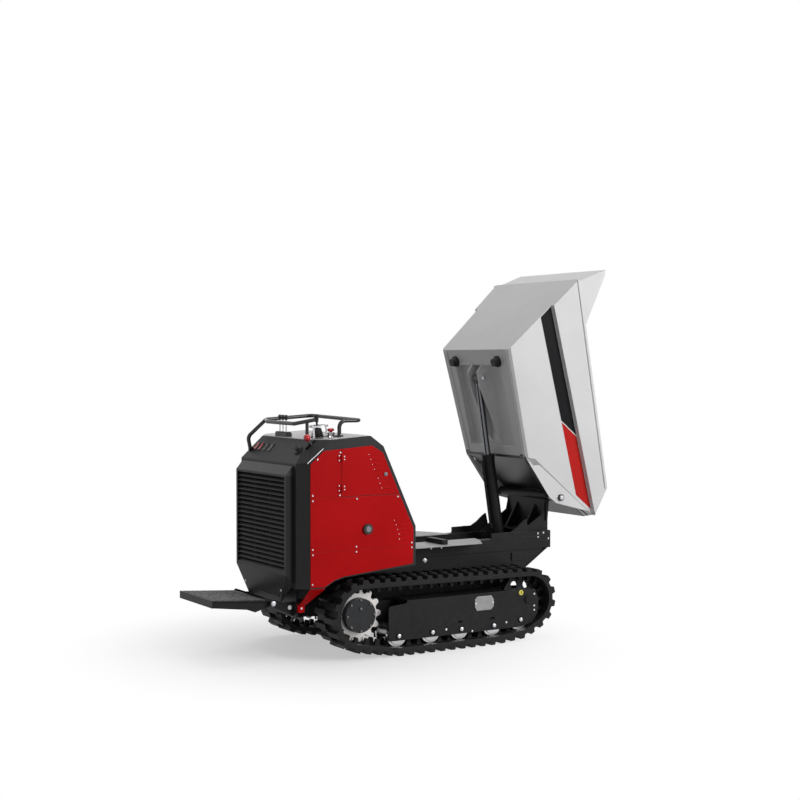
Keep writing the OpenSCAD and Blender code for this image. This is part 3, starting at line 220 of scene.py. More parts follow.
# finishes: one entry for each material slot of the record, and for the nodes that show two finishes
# colour is as seen, edge is (radius mm, colour, share), dust is (colour, share, height m),
# grain is (scale, stretch, depth mm), scuff is (colour, share), and second is the other finish and where it lies
finishes = {
    "frame_paint": {"colour": (29, 29, 30), "rough": 0.42, "specular": 0.14, "tone": 0.16, "toneScale": 5,
                    "grain": (420, (1, 1, 1), 0.08), "edge": (2.5, (92, 92, 94), 0.5),
                    "dust": ((92, 88, 84), 0.10, 0.5)},
    "body_paint": {"colour": (49, 49, 50), "rough": 0.42, "specular": 0.12, "tone": 0.10, "toneScale": 3,
                   "grain": (520, (1, 1, 1), 0.06), "edge": (2.5, (88, 88, 90), 0.5),
                   "dust": ((92, 88, 84), 0.06, 0.7)},
    "red_paint": {"colour": (184, 15, 19), "rough": 0.36, "specular": 0.05, "tone": 0.08, "toneScale": 3,
                  "grain": (480, (1, 1, 1), 0.05), "edge": (2.0, (214, 70, 66), 0.5),
                  "dust": ((120, 40, 36), 0.10, 0.7)},
    "skip_paint": {"colour": (214, 214, 215), "rough": 0.4, "specular": 0.4, "tone": 0.035, "toneScale": 2.5,
                   "grain": (420, (1, 1, 1), 0.06), "edge": (2.5, (240, 240, 241), 0.5),
                   "scuff": ((172, 170, 167), 0.18),
                   "second": {"colour": (40, 40, 42), "rough": 0.4, "metal": 0.0, "where": ("ramp", None, 0.0026)}},
    "deck_steel": {"colour": (172, 172, 174), "rough": 0.5, "specular": 0.2, "tone": 0.06, "toneScale": 6,
                   "grain": (300, (1, 1, 1), 0.06), "edge": (2.0, (215, 215, 216), 0.5),
                   "scuff": ((140, 138, 136), 0.3)},
    "belt_rubber": {"colour": (26, 26, 27), "rough": 0.5, "specular": 0.16, "tone": 0.25, "toneScale": 14,
                    "grain": (700, (1, 1, 1), 0.16), "edge": (5.0, (72, 71, 69), 0.5),
                    "dust": ((74, 70, 66), 0.22, 0.22)},
    "buffer_rubber": {"colour": (22, 22, 23), "rough": 0.6, "specular": 0.3, "tone": 0.2, "toneScale": 18,
                      "grain": (800, (1, 1, 1), 0.1), "edge": (3.0, (52, 52, 52), 0.5)},
    "cast_hub": {"colour": (48, 49, 51), "rough": 0.5, "specular": 0.16, "tone": 0.2, "toneScale": 12,
                 "grain": (240, (1, 1, 1), 0.3), "edge": (2.5, (150, 150, 151), 0.7),
                 "dust": ((90, 86, 82), 0.12, 0.4)},
    "sprocket_steel": {"colour": (224, 221, 219), "rough": 0.38, "metal": 0.35, "tone": 0.08, "toneScale": 12,
                       "grain": (300, (1, 1, 1), 0.1), "edge": (2.0, (240, 238, 236), 0.6),
                       "scuff": ((120, 116, 112), 0.3)},
    "wheel_steel": {"colour": (190, 190, 192), "rough": 0.22, "metal": 1.0, "tone": 0.06, "toneScale": 10,
                    "grain": (300, (1, 30, 1), 0.02), "edge": (2.0, (226, 226, 228), 0.5),
                    "scuff": ((110, 106, 102), 0.25)},
    "bright_steel": {"colour": (206, 206, 210), "rough": 0.28, "metal": 0.9, "tone": 0.06, "toneScale": 40,
                     "grain": (900, (1, 1, 1), 0.02), "edge": (0.6, (240, 240, 242), 0.5)},
    "rod_chrome": {"colour": (98, 99, 102), "rough": 0.1, "metal": 1.0, "tone": 0.03, "toneScale": 10,
                   "grain": (500, (20, 20, 1), 0.004), "edge": (1.0, (240, 240, 242), 0.3),
                   "second": {"colour": (40, 40, 41), "rough": 0.45, "metal": 0.0, "where": ("high", 1.575, 0.002)}},
    "console_metal": {"colour": (158, 156, 156), "rough": 0.32, "metal": 0.6, "tone": 0.03, "toneScale": 6,
                      "grain": (260, (26, 1, 26), 0.004), "edge": (1.5, (232, 232, 233), 0.5)},
    "black_plastic": {"colour": (20, 20, 21), "rough": 0.4, "specular": 0.4, "tone": 0.15, "toneScale": 30,
                      "grain": (1400, (1, 1, 1), 0.03), "edge": (1.0, (64, 64, 65), 0.5)},
    "red_plastic": {"colour": (206, 16, 34), "rough": 0.26, "specular": 0.5, "tone": 0.06, "toneScale": 30,
                    "grain": (1400, (1, 1, 1), 0.012), "edge": (1.0, (232, 84, 84), 0.4)},
    "grey_plastic": {"colour": (88, 88, 92), "rough": 0.42, "specular": 0.4, "tone": 0.1, "toneScale": 30,
                     "grain": (1400, (1, 1, 1), 0.02), "edge": (1.0, (130, 130, 132), 0.5)},
    "engine_alloy": {"colour": (118, 118, 120), "rough": 0.5, "metal": 0.7, "tone": 0.12, "toneScale": 8,
                     "grain": (240, (1, 1, 1), 0.25), "edge": (3.0, (160, 160, 162), 0.5)},
    "tank_plastic": {"colour": (52, 52, 54), "rough": 0.5, "specular": 0.35, "tone": 0.1, "toneScale": 8,
                     "grain": (600, (1, 1, 1), 0.05), "edge": (3.0, (84, 84, 86), 0.5)},
    "leverSteel": {"colour": (196, 196, 199), "rough": 0.25, "metal": 0.9, "tone": 0.05, "toneScale": 30,
                   "grain": (600, (20, 20, 1), 0.01), "edge": (0.8, (236, 236, 238), 0.4),
                   "second": {"colour": (20, 20, 21), "rough": 0.35, "metal": 0.0, "where": ("high", 1.368, 0.0006)}},
    "throttleSteel": {"colour": (60, 60, 62), "rough": 0.4, "metal": 0.3, "tone": 0.05, "toneScale": 30,
                      "grain": (600, (20, 20, 1), 0.01), "edge": (0.8, (120, 120, 122), 0.4),
                      "second": {"colour": (204, 14, 34), "rough": 0.22, "metal": 0.0,
                                 "where": ("core", (-854.9, 1281.1), 0.0203)}},
    "fillerRing": {"colour": (24, 24, 25), "rough": 0.42, "specular": 0.4, "tone": 0.1, "toneScale": 30,
                   "grain": (900, (1, 1, 1), 0.03), "edge": (1.2, (120, 120, 122), 0.6),
                   "second": {"colour": (118, 118, 121), "rough": 0.36, "metal": 0.6,
                              "where": ("core", (-506.0, 748.0), 0.0172)}},
    # the grille's paint, with a lighter band above 1.0675 m that is a painted highlight for the light on its sloping
    # top
    "grillePaintLitTop": {"colour": (38, 38, 39), "rough": 0.42, "specular": 0.12, "tone": 0.10, "toneScale": 3,
                    "grain": (520, (1, 1, 1), 0.06), "edge": (2.0, (84, 84, 86), 0.5),
                    "second": {"colour": (62, 60, 61), "rough": 0.36, "metal": 0.0, "where": ("high", 1.0675, 0.002)}},
    # the hood sheet's lighter grey is a painted highlight for the light falling on the grille's sloping top
    "hoodLitPaint": {"colour": (78, 75, 76), "rough": 0.38, "specular": 0.16, "tone": 0.08, "toneScale": 4,
                  "grain": (520, (1, 1, 1), 0.05), "edge": (2.0, (128, 126, 127), 0.5)},
    "latchSteel": {"colour": (116, 116, 118), "rough": 0.38, "metal": 0.6, "tone": 0.08, "toneScale": 40,
                   "grain": (900, (1, 1, 1), 0.02), "edge": (0.8, (190, 190, 192), 0.5)},
    "railPaint": {"colour": (26, 26, 27), "rough": 0.2, "specular": 0.4, "tone": 0.12, "toneScale": 12,
                  "grain": (700, (1, 1, 1), 0.02), "edge": (1.5, (96, 96, 98), 0.4)},
    # the lugs are light grey with bright rims: partly worn metal, partly a painted highlight for the glints on the
    # chequer plate
    "treadWearAndGlint": {"colour": (108, 108, 110), "rough": 0.3, "metal": 0.3, "specular": 0.3, "tone": 0.3, "toneScale": 24,
                   "grain": (500, (1, 1, 1), 0.06), "edge": (2.0, (168, 168, 170), 0.6)},
    "stripeBlack": {"colour": (24, 24, 26), "rough": 0.34, "specular": 0.08, "tone": 0.06, "toneScale": 3,
                    "grain": (700, (1, 1, 1), 0.01), "edge": (0.4, (60, 60, 62), 0.3)},
    "stripeRed": {"colour": (184, 34, 30), "rough": 0.34, "specular": 0.08, "tone": 0.05, "toneScale": 3,
                  "grain": (700, (1, 1, 1), 0.01), "edge": (0.4, (214, 90, 84), 0.3)},
    "stripeWhite": {"colour": (238, 238, 238), "rough": 0.34, "specular": 0.4, "tone": 0.02, "toneScale": 3,
                    "grain": (700, (1, 1, 1), 0.01), "edge": (0.4, (245, 245, 245), 0.3)},
    "coverGrey": {"colour": (146, 146, 147), "rough": 0.42, "metal": 0.4, "tone": 0.08, "toneScale": 20,
                  "grain": (500, (1, 1, 1), 0.03), "edge": (1.2, (196, 196, 197), 0.5)},
    "capYellow": {"colour": (224, 212, 92), "rough": 0.4, "specular": 0.4, "tone": 0.06, "toneScale": 40,
                  "grain": (900, (1, 1, 1), 0.02), "edge": (1.0, (240, 232, 150), 0.4)},
    "deepShadow": {"colour": (8, 8, 8), "rough": 0.8, "specular": 0.1, "tone": 0.2, "toneScale": 40,
                   "grain": (900, (1, 1, 1), 0.02), "edge": (0.5, (20, 20, 20), 0.3)},
}
nodeFinish = {"throttle_lever": "throttleSteel", "filler_cap": "fillerRing", "handrail": "railPaint",
              "rear_grille": "grillePaintLitTop", "key_switch": "black_plastic"}
nodeFinish.update({f"lever_{number}": "leverSteel" for number in (1, 2, 3)})
for side in sides:
    nodeFinish.update({f"idler_{side}": "cast_hub", f"latch_{side}": "latchSteel"})
# each bottom roller is polished round a painted axle end
rollers = {"places": [(-318, 114.3), (-84, 114.3), (122, 114.3), (360, 114.3), (560, 132.3)], "core": 0.018}
for number, place in enumerate(rollers["places"], 1):
    finishes[f"roller{number}"] = dict(finishes["wheel_steel"], second={
        "colour": (34, 34, 35), "rough": 0.5, "metal": 0.0, "where": ("core", place, rollers["core"])})
    for side in sides:
        nodeFinish[f"roller_{side}_{number}"] = f"roller{number}"

# where a second finish begins; rampRuns are the dark faces under the skip's front and along its ears
masks = {"soft": 0.0004, "sheetIn": -0.003, "sheetSoft": 0.0005, "facing": (0.5, 0.1),
         "rampRuns": [((702, 0), (742, 33)), ((742, 33), (1195, 387)), ((700, 3), (985, 119))]}
# wear that all finishes share: noise settings, the level and softness of each mask, and what it does to the gloss
wear = {
    "cloud": {"Detail": 5.0, "Roughness": 0.62}, "cloudStep": (0.5, 0.22), "cloudGloss": 0.12,
    "grain": {"Detail": 3.0, "Roughness": 0.55}, "grainGloss": 0.18, "bump": 0.7, "edgeGain": 5.0, "edgeSamples": 4,
    "film": {"Scale": 26.0, "Detail": 6.0, "Roughness": 0.7}, "filmStep": (0.52, 0.2), "filmHigh": 0.3,
    "filmGloss": 0.5,
    "drag": {"Scale": (1, 1, 7), "Rotation": (0.3, 0.9, 0.4)},
    "scuff": {"Scale": 9.0, "Detail": 8.0, "Roughness": 0.72}, "scuffStep": (0.66, 0.07), "scuffGloss": 0.3,
}


# each dark face as a corner and the way out of the skip
def rampFaces():
    for (a, h), (b, k) in masks["rampRuns"]:
        corner, ahead = onSkip(a, 0, h), onSkip(b, 0, k)
        yield tuple(corner), tuple((ahead - corner).normalized().cross(Vector((0, 1, 0))) * -1)


def maskFor(start, coords, where):
    kind, place, size = where
    if kind == "high":
        return start.node("ShaderNodeSeparateXYZ", None, {0: coords}, "Z").above(place, size)
    if kind == "ramp":
        facing = start.node("ShaderNodeTexCoord", None, None, "Normal")
        cover = 0
        for corner, way in rampFaces():
            depth = start.vector("DOT_PRODUCT", start.vector("SUBTRACT", coords, corner), way, "Value")
            outward = start.vector("DOT_PRODUCT", facing, way, "Value")
            slab = depth.above(masks["sheetIn"], masks["sheetSoft"]) * (1 - depth.above(size, masks["soft"]))
            cover = cover + slab * outward.above(*masks["facing"])
        return cover.clamp()
    centre = at(place[0], 0, place[1])
    flat = start.vector("MULTIPLY", coords, (1, 0, 1))
    return 1 - start.vector("DISTANCE", flat, (centre.x, 0, centre.z), "Value").above(size, masks["soft"])


def makeFinish(name, look):
    material = bpy.data.materials.new(name)
    material.use_nodes = True
    material.node_tree.nodes.clear()
    start = Wire(material.node_tree)
    coords = start.node("ShaderNodeTexCoord", None, None, "Object")

    def noise(where, settings):
        return start.node("ShaderNodeTexNoise", None, {"Vector": where, **settings}, "Fac")

    cloud = noise(coords, {"Scale": look["toneScale"], **wear["cloud"]})
    scale, stretch, depth = look["grain"]
    drawn = start.node("ShaderNodeMapping", None, {"Vector": coords, "Scale": stretch})
    grain = noise(drawn, {"Scale": scale, **wear["grain"]})
    radius, edgeColour, edgeShare = look["edge"]
    rounded = start.node("ShaderNodeBevel", {"samples": wear["edgeSamples"]}, {"Radius": radius / 1000})
    flat = start.node("ShaderNodeNewGeometry", None, None, "Normal")
    along = start.vector("DOT_PRODUCT", rounded, flat, "Value")
    edge = ((1 - along) * wear["edgeGain"]).clamp() * edgeShare
    colour = linear(*look["colour"])
    base = cloud.above(*wear["cloudStep"]).blend(shade(colour, 1 - look["tone"]), shade(colour, 1 + look["tone"]))
    rough = look["rough"] + (grain - 0.5) * wear["grainGloss"] + (cloud - 0.5) * wear["cloudGloss"]
    if "dust" in look:
        dustColour, share, height = look["dust"]
        low = 1 - (start.node("ShaderNodeSeparateXYZ", None, {0: coords}, "Z") / height).clamp()
        film = noise(coords, wear["film"]).above(*wear["filmStep"])
        dust = (low * (1 - wear["filmHigh"]) + wear["filmHigh"]) * film * share
        base = dust.blend(base, linear(*dustColour))
        rough = rough + dust * wear["filmGloss"]
    if "scuff" in look:
        scuffColour, share = look["scuff"]
        drag = start.node("ShaderNodeMapping", None, {"Vector": coords, **wear["drag"]})
        scuff = noise(drag, wear["scuff"]).above(*wear["scuffStep"]) * share
        base = scuff.blend(base, linear(*scuffColour))
        rough = rough + scuff * wear["scuffGloss"]
    base = edge.blend(base, linear(*edgeColour))
    metal = look.get("metal", 0.0)
    if "second" in look:
        other = look["second"]
        mask = maskFor(start, coords, other["where"])
        base = mask.blend(base, linear(*other["colour"]))
        rough = rough + mask * (other["rough"] - look["rough"])
        metal = metal + mask * (other["metal"] - metal)
    normal = start.node("ShaderNodeBump", None, {
        "Strength": wear["bump"], "Distance": depth / 1000, "Height": grain, "Normal": rounded})
    skin = start.node("ShaderNodeBsdfPrincipled", None, {
        "Base Color": base, "Roughness": rough.clamp(), "Metallic": metal, "Normal": normal,
        "Specular IOR Level": look.get("specular", 0.5)})
    start.node("ShaderNodeOutputMaterial", None, {"Surface": skin})
    return material


materials = {name: makeFinish(name, look) for name, look in finishes.items()}
for part in frame["record"]["subparts"]:
    finish = nodeFinish.get(part["node"], part["material_slot"])
    for slot in cadNodes[part["node"]].material_slots:
        slot.material = materials[finish]
print("finishes made:", len(materials))


# tools for the pieces: each ends as a plain mesh at the origin, riding a body
def settle(name, mesh, body, finish=None, smooth=None):
    if finish:
        mesh.materials.clear()
        mesh.materials.append(materials[finish])
    if smooth is not None:
        mesh.shade_smooth()
        mesh.set_sharp_from_angle(angle=math.radians(smooth))
    piece = bpy.data.objects.new(name, mesh)
    bpy.context.scene.collection.objects.link(piece)
    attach(piece, body)
    return piece


def closedMesh(name, work):
    bmesh.ops.remove_doubles(work, verts=work.verts, dist=1e-6)
    bmesh.ops.recalc_face_normals(work, faces=work.faces)
    mesh = bpy.data.meshes.new(name)
    work.to_mesh(mesh)
    work.free()
    return mesh


def addPrism(work, outline, thick, bevel=0.0):
    low = [work.verts.new(p) for p in outline]
    high = [work.verts.new(p + thick) for p in outline]
    work.faces.new(low)
    top = work.faces.new(high)
    count = len(outline)
    for i in range(count):
        j = (i + 1) % count
        work.faces.new((low[i], low[j], high[j], high[i]))
    if bevel:
        bmesh.ops.bevel(work, geom=list(top.edges), offset=bevel, segments=2, profile=0.6, affect="EDGES")


def plate(name, outlines, thick, body, finish, bevel=0.0):
    work = bmesh.new()
    for outline in outlines:
        addPrism(work, outline, thick, bevel)
    return settle(name, closedMesh(name, work), body, finish)


def addLathe(work, profile, origin, axis, steps=32):
    turn = axis.to_track_quat("Z", "Y").to_matrix()
    angles = [2 * math.pi * k / steps for k in range(steps)]
    rows = []
    for radius, height in profile:
        if radius < 1e-7:
            rows.append([work.verts.new(origin + turn @ Vector((0, 0, height)))] * steps)
        else:
            rows.append([work.verts.new(origin + turn @ Vector((radius * math.cos(a), radius * math.sin(a), height)))
                         for a in angles])
    for lower, upper in zip(rows, rows[1:]):
        for k in range(steps):
            corners = [lower[k], lower[(k + 1) % steps], upper[(k + 1) % steps], upper[k]]
            kept = [v for i, v in enumerate(corners) if v not in corners[:i]]
            if len(kept) > 2:
                work.faces.new(kept)


quadrants = ((1, 1), (-1, 1), (-1, -1), (1, -1))


def roundedOutline(centre, across, upward, width, height, radius, steps=5):
    points = []
    for quarter, (sx, sy) in enumerate(quadrants):
        for k in range(steps + 1):
            a = math.radians(90 * quarter + 90 * k / steps)
            points.append(centre + across * (sx * (width / 2 - radius) + radius * math.cos(a))
                          + upward * (sy * (height / 2 - radius) + radius * math.sin(a)))
    return points


# Geometry Nodes: a tree has named inputs, and closes with Realize Instances and Set Material
def openTree(name, inputs):
    tree = bpy.data.node_groups.new(name, "GeometryNodeTree")
    face = tree.interface
    face.new_socket("Geometry", in_out="INPUT", socket_type="NodeSocketGeometry")
    for label, kind in inputs.items():
        face.new_socket(label, in_out="INPUT", socket_type="NodeSocket" + kind)
    face.new_socket("Finish", in_out="INPUT", socket_type="NodeSocketMaterial")
    face.new_socket("Geometry", in_out="OUTPUT", socket_type="NodeSocketGeometry")
    entry = tree.nodes.new("NodeGroupInput")
    return tree, Wire(tree), {s.name: Wire(tree, s) for s in entry.outputs if s.name}


def closeTree(tree, start, given, geometry, smooth=True):
    whole = start.node("GeometryNodeRealizeInstances", None, {"Geometry": geometry})
    if smooth:
        whole = start.node("GeometryNodeSetShadeSmooth", None, {"Geometry": whole, "Shade Smooth": True})
    dressed = start.node("GeometryNodeSetMaterial", None, {"Geometry": whole, "Material": given["Finish"]})
    start.node("NodeGroupOutput", None, {"Geometry": dressed})
    return tree


# the points are the places, ways the directions that a fastener looks, edges the runs that a bead follows
def growMesh(name, tree, values, points, ways=(), edges=()):
    seed = bpy.data.meshes.new(name + "Seed")
    seed.from_pydata([tuple(p) for p in points], list(edges), [])
    if ways:
        attribute = seed.attributes.new("way", "FLOAT_VECTOR", "POINT")
        for item, way in zip(attribute.data, ways):
            item.vector = way
    holder = bpy.data.objects.new(name + "Seed", seed)
    bpy.context.scene.collection.objects.link(holder)
    modifier = holder.modifiers.new("grow", "NODES")
    modifier.node_group = tree
    for item in tree.interface.items_tree:
        if item.in_out == "INPUT" and item.name in values:
            modifier[item.identifier] = values[item.name]
    graph = bpy.context.evaluated_depsgraph_get()
    mesh = bpy.data.meshes.new_from_object(holder.evaluated_get(graph))
    mesh.name = name
    holder.modifiers.remove(modifier)
    bpy.data.objects.remove(holder)
    bpy.data.meshes.remove(seed)
    return mesh


def spread(start, points, shape, turned=None):
    sockets = {"Points": points, "Instance": shape}
    if turned:
        sockets["Rotation"] = turned
    return start.node("GeometryNodeInstanceOnPoints", None, sockets)


def vectorOf(start, **axes):
    return start.node("ShaderNodeCombineXYZ", None, axes)


headShape = {"washerSides": 20, "washerTaper": 0.94, "seat": 0.8, "crownTaper": 0.72, "crownFoot": 0.995,
             "crownSeat": 0.99}


def makeFastenerTree():
    tree, start, given = openTree("fastenerHeads", {
        "Washer radius": "Float", "Washer height": "Float", "Head radius": "Float", "Head height": "Float",
        "Crown": "Float", "Sides": "Int"})
    washer, head = given["Washer radius"], given["Head radius"]
    seat = given["Washer height"] * headShape["seat"]

    def lifted(shape, share):
        lift = vectorOf(start, Z=seat + given["Head height"] * share)
        return start.node("GeometryNodeTransform", None, {"Geometry": shape, "Translation": lift})

    ring = start.node("GeometryNodeMeshCone", None, {
        "Vertices": headShape["washerSides"], "Radius Top": washer * headShape["washerTaper"], "Radius Bottom": washer,
        "Depth": given["Washer height"]})
    body = start.node("GeometryNodeMeshCylinder", None, {
        "Vertices": given["Sides"], "Radius": head, "Depth": given["Head height"]})
    crown = start.node("GeometryNodeMeshCone", None, {
        "Vertices": given["Sides"], "Radius Top": head * headShape["crownTaper"],
        "Radius Bottom": head * headShape["crownFoot"], "Depth": given["Crown"]})
    bolt = start.node("GeometryNodeJoinGeometry", None, {
        "Geometry": [ring, lifted(body, 0.5), lifted(crown, headShape["crownSeat"])]})
    way = start.node("GeometryNodeInputNamedAttribute", {"data_type": "FLOAT_VECTOR"}, {"Name": "way"})
    turned = start.node("FunctionNodeAlignRotationToVector", {"axis": "Z"}, {"Vector": way})
    return closeTree(tree, start, given, spread(start, given["Geometry"], bolt, turned), smooth=False)


def makePressTree():
    tree, start, given = openTree("pressedSlits", {"Length": "Float", "Width": "Float", "Rise": "Float"})
    blister = start.node("GeometryNodeMeshUVSphere", None, {"Segments": 16, "Rings": 8, "Radius": 0.5})
    size = vectorOf(start, X=given["Length"], Y=given["Rise"] * 2, Z=given["Width"])
    ahead = vectorOf(start, X=given["Length"] * 0.5)
    blister = start.node("GeometryNodeTransform", None, {"Geometry": blister, "Translation": ahead, "Scale": size})
    return closeTree(tree, start, given, spread(start, given["Geometry"], blister))


def makeTreadTree():
    tree, start, given = openTree("treadLugs", {"Length": "Float", "Width": "Float", "Rise": "Float", "Columns": "Int"})
    lug = start.node("GeometryNodeMeshUVSphere", None, {"Segments": 10, "Rings": 6, "Radius": 0.5})
    size = vectorOf(start, X=given["Length"], Y=given["Width"], Z=given["Rise"] * 2)
    lug = start.node("GeometryNodeTransform", None, {"Geometry": lug, "Scale": size})
    index = start.node("GeometryNodeInputIndex")
    row = start.node("ShaderNodeMath", {"operation": "FLOOR"}, {0: index / given["Columns"]})
    lean = ((row + index % given["Columns"]) % 2.0) * (math.pi / 2) - math.pi / 4
    turned = start.node("FunctionNodeEulerToRotation", None, {"Euler": vectorOf(start, Z=lean)})
    return closeTree(tree, start, given, spread(start, given["Geometry"], lug, turned))


def makeBeadTree():
    tree, start, given = openTree("weldBeads", {"Pitch": "Float", "Radius": "Float"})
    run = start.node("GeometryNodeMeshToCurve", None, {"Mesh": given["Geometry"]})
    steps = start.node("GeometryNodeCurveToPoints", {"mode": "LENGTH"}, {"Curve": run, "Length": given["Pitch"]})
    drop = start.node("GeometryNodeMeshUVSphere", None, {"Segments": 8, "Rings": 5, "Radius": given["Radius"]})
    return closeTree(tree, start, given, spread(start, steps, drop))


fastenerTree, pressTree, treadTree, beadTree = makeFastenerTree(), makePressTree(), makeTreadTree(), makeBeadTree()
boltSizes = {
    "panel": {"Washer radius": 0.0063, "Washer height": 0.0014, "Head radius": 0.0049, "Head height": 0.0026,
              "Crown": 0.001, "Sides": 16},
    "rivet": {"Washer radius": 0.0042, "Washer height": 0.0006, "Head radius": 0.0034, "Head height": 0.0012,
              "Crown": 0.0008, "Sides": 12},
    "hex": {"Washer radius": 0.0150, "Washer height": 0.002, "Head radius": 0.0115, "Head height": 0.0065,
            "Crown": 0.0012, "Sides": 6},
    "dot": {"Washer radius": 0.0027, "Washer height": 0.0006, "Head radius": 0.0022, "Head height": 0.001,
            "Crown": 0.0006, "Sides": 10},
    "axle": {"Washer radius": 0.0125, "Washer height": 0.001, "Head radius": 0.0106, "Head height": 0.004,
             "Crown": 0.0012, "Sides": 6},
    "small": {"Washer radius": 0.0068, "Washer height": 0.001, "Head radius": 0.005, "Head height": 0.003,
              "Crown": 0.0008, "Sides": 6},
}


def bolts(name, size, body, places, finish="bright_steel"):
    values = dict(boltSizes[size], Finish=materials[finish])
    mesh = growMesh(name, fastenerTree, values, [p for p, w in places], [w for p, w in places])
    return settle(name, mesh, body)


# side panels: bolts, hinge rivets, pressed slits, bright dots at the slit ends that are painted highlights, and a
# bright strip that is a painted highlight along the shell's corner edge
panel = {
    "bolts": [(-866, 956), (-866, 926), (-577, 926), (-866, 650), (-866, 620), (-581, 650), (-581, 620), (-205, 650),
              (-205, 622), (-868, 452), (-834, 1160), (-686, 1196), (-690, 952), (-300, 926)],
    "hinges": [992, 1164], "seam": -678,
    "fixedLeaf": {"across": -16, "out": 2.6, "up": (-14, 14)},
    "doorLeaf": {"across": 16, "out": 6.6, "up": (-8.5, 8.5)},
    "doorSlits": [(-495, 1178), (-483, 1149), (-471, 1120), (-459, 1091), (-432, 1038), (-421, 1009), (-409, 981)],
    "panelSlits": [(-323, 788), (-310, 761), (-299, 733), (-289, 705), (-288, 677)],
    # the bright dots at the slit ends are painted highlights for the light caught there
    "slit": {"Length": 0.062, "Width": 0.010, "Rise": 0.0042}, "slitSink": 0.4, "slitEnd": {"back": 1, "sink": 0.2},
    # the bright strip along the shell's corner edge is a painted highlight
    "trim": {"ends": ((-896, 1137), (-793, 1219)), "sink": 4.3, "wide": 0.0042, "thick": 0.0022, "bevel": 0.0006},
}


def hingeRivets(name, body, s, leaf):
    x, y = panel["seam"] + leaf["across"], s * (machine["bodyHalf"] + leaf["out"])
    bolts(name, "rivet", body, [(at(x, y, z + up), Vector((0, s, 0))) for z in panel["hinges"] for up in leaf["up"]])


def dressPanels():
    half, trim, end = machine["bodyHalf"], panel["trim"], panel["slitEnd"]
    for side, s in sides.items():
        out, door = Vector((0, s, 0)), f"service_door_{side}"
        bolts(f"panel_bolts_{side}", "panel", "carrier", [(at(x, s * half, z), out) for x, z in panel["bolts"]])
        hingeRivets(f"hinge_rivets_{side}", "carrier", s, panel["fixedLeaf"])
        hingeRivets(f"door_rivets_{side}", door, s, panel["doorLeaf"])
        for label, body in (("door", door), ("panel", "carrier")):
            places = panel[label + "Slits"]
            spots = [at(x, s * (half - panel["slitSink"]), z) for x, z in places]
            mesh = growMesh(label + "Slits", pressTree, dict(panel["slit"], Finish=materials["red_paint"]), spots)
            settle(f"{label}_slits_{side}", mesh, body)
            # bright steel dots at the slit ends: painted highlights for the light caught there
            ends = [(at(x - end["back"], s * (half - end["sink"]), z), out) for x, z in places]
            bolts(f"{label}_slit_ends_{side}", "dot", body, ends)
        # a thin bright steel strip along the shell's chamfer edge: a painted highlight standing for the light reflected
        # by that edge
        first, last = (at(x, s * (half - trim["sink"]), z) for x, z in trim["ends"])
        inside = (last - first).normalized().cross(Vector((0, 1, 0))) * trim["wide"]
        plate(f"corner_glint_strip_{side}", [[first, last, last + inside, first + inside]], out * trim["thick"], "carrier",
              "bright_steel", trim["bevel"])


dressPanels()
print("side panels dressed")

# skip: stripe below the fold, rim bolts, pin caps
stripe = {"rear": -146.0, "rearLean": -316.0 / 581.0, "foldUp": 360.0, "foldRear": -195.8, "foldSlope": 0.0472,
          "width": 94.0, "gap": 4.0, "endGap": 5.0, "parting": 532.0, "line": 9.0, "front": 1030.0, "slant": 1.36,
          "lift": 0.9, "sink": 0.4, "bevel": 0.0004}
skipBolts = {"rim": [(-232, 585), (-34, 580)], "rimApart": (-7, 7), "rimOut": 30.5, "rimDown": 16,
             "eye": (181, -14), "eyeY": 64.0, "hingeY": 348.0}


def foldAt(along):
    return stripe["foldUp"] + stripe["foldSlope"] * (along - stripe["foldRear"]) - stripe["gap"]


# first and last are (place along the skip, slant of that end)
def stripePiece(name, s, first, last, finish):
    high = stripe["width"] - stripe["gap"]

    def point(along, slant, low):
        a = along if low else along + slant * high
        h = foldAt(a) - (high if low else 0)
        return onSkip(a, s * (skipHalf(a, h) - stripe["sink"]), h)

    outline = [point(*first, True), point(*last, True), point(*last, False), point(*first, False)]
    out = (outline[1] - outline[0]).cross(outline[2] - outline[0]).normalized()
    if out.y * s < 0:
        out = -out
    thick = out * (stripe["lift"] + stripe["sink"]) / 1000
    plate(name, [outline], thick, "tipping_skip", finish, stripe["bevel"])


def dressSkip():
    rear = (stripe["rear"] + stripe["endGap"], stripe["rearLean"])
    dark, line, red = ((along, stripe["slant"]) for along in (
        stripe["parting"], stripe["parting"] + stripe["line"], stripe["front"]))
    for side, s in sides.items():
        stripePiece(f"stripe_dark_{side}", s, rear, dark, "stripeBlack")
        stripePiece(f"stripe_line_{side}", s, dark, line, "stripeWhite")
        stripePiece(f"stripe_red_{side}", s, line, red, "stripeRed")


def boltSkip():
    for side, s in sides.items():
        out = Vector((0, s, 0))
        rim = [(onSkip(a + apart, s * (skipHalf(a, h) + skipBolts["rimOut"]), h - skipBolts["rimDown"]), out)
               for a, h in skipBolts["rim"] for apart in skipBolts["rimApart"]]
        bolts(f"rim_bolts_{side}", "small", "tipping_skip", rim)
        a, h = skipBolts["eye"]
        bolts(f"eye_pin_{side}", "hex", "tipping_skip", [(onSkip(a, s * skipBolts["eyeY"], h), out)])
        hinge = at(skipPlace["hingeX"], s * skipBolts["hingeY"], skipPlace["hingeZ"])
        bolts(f"hinge_bolt_{side}", "hex", "carrier", [(hinge, out)])


dressSkip()
boltSkip()
print("skip dressed")

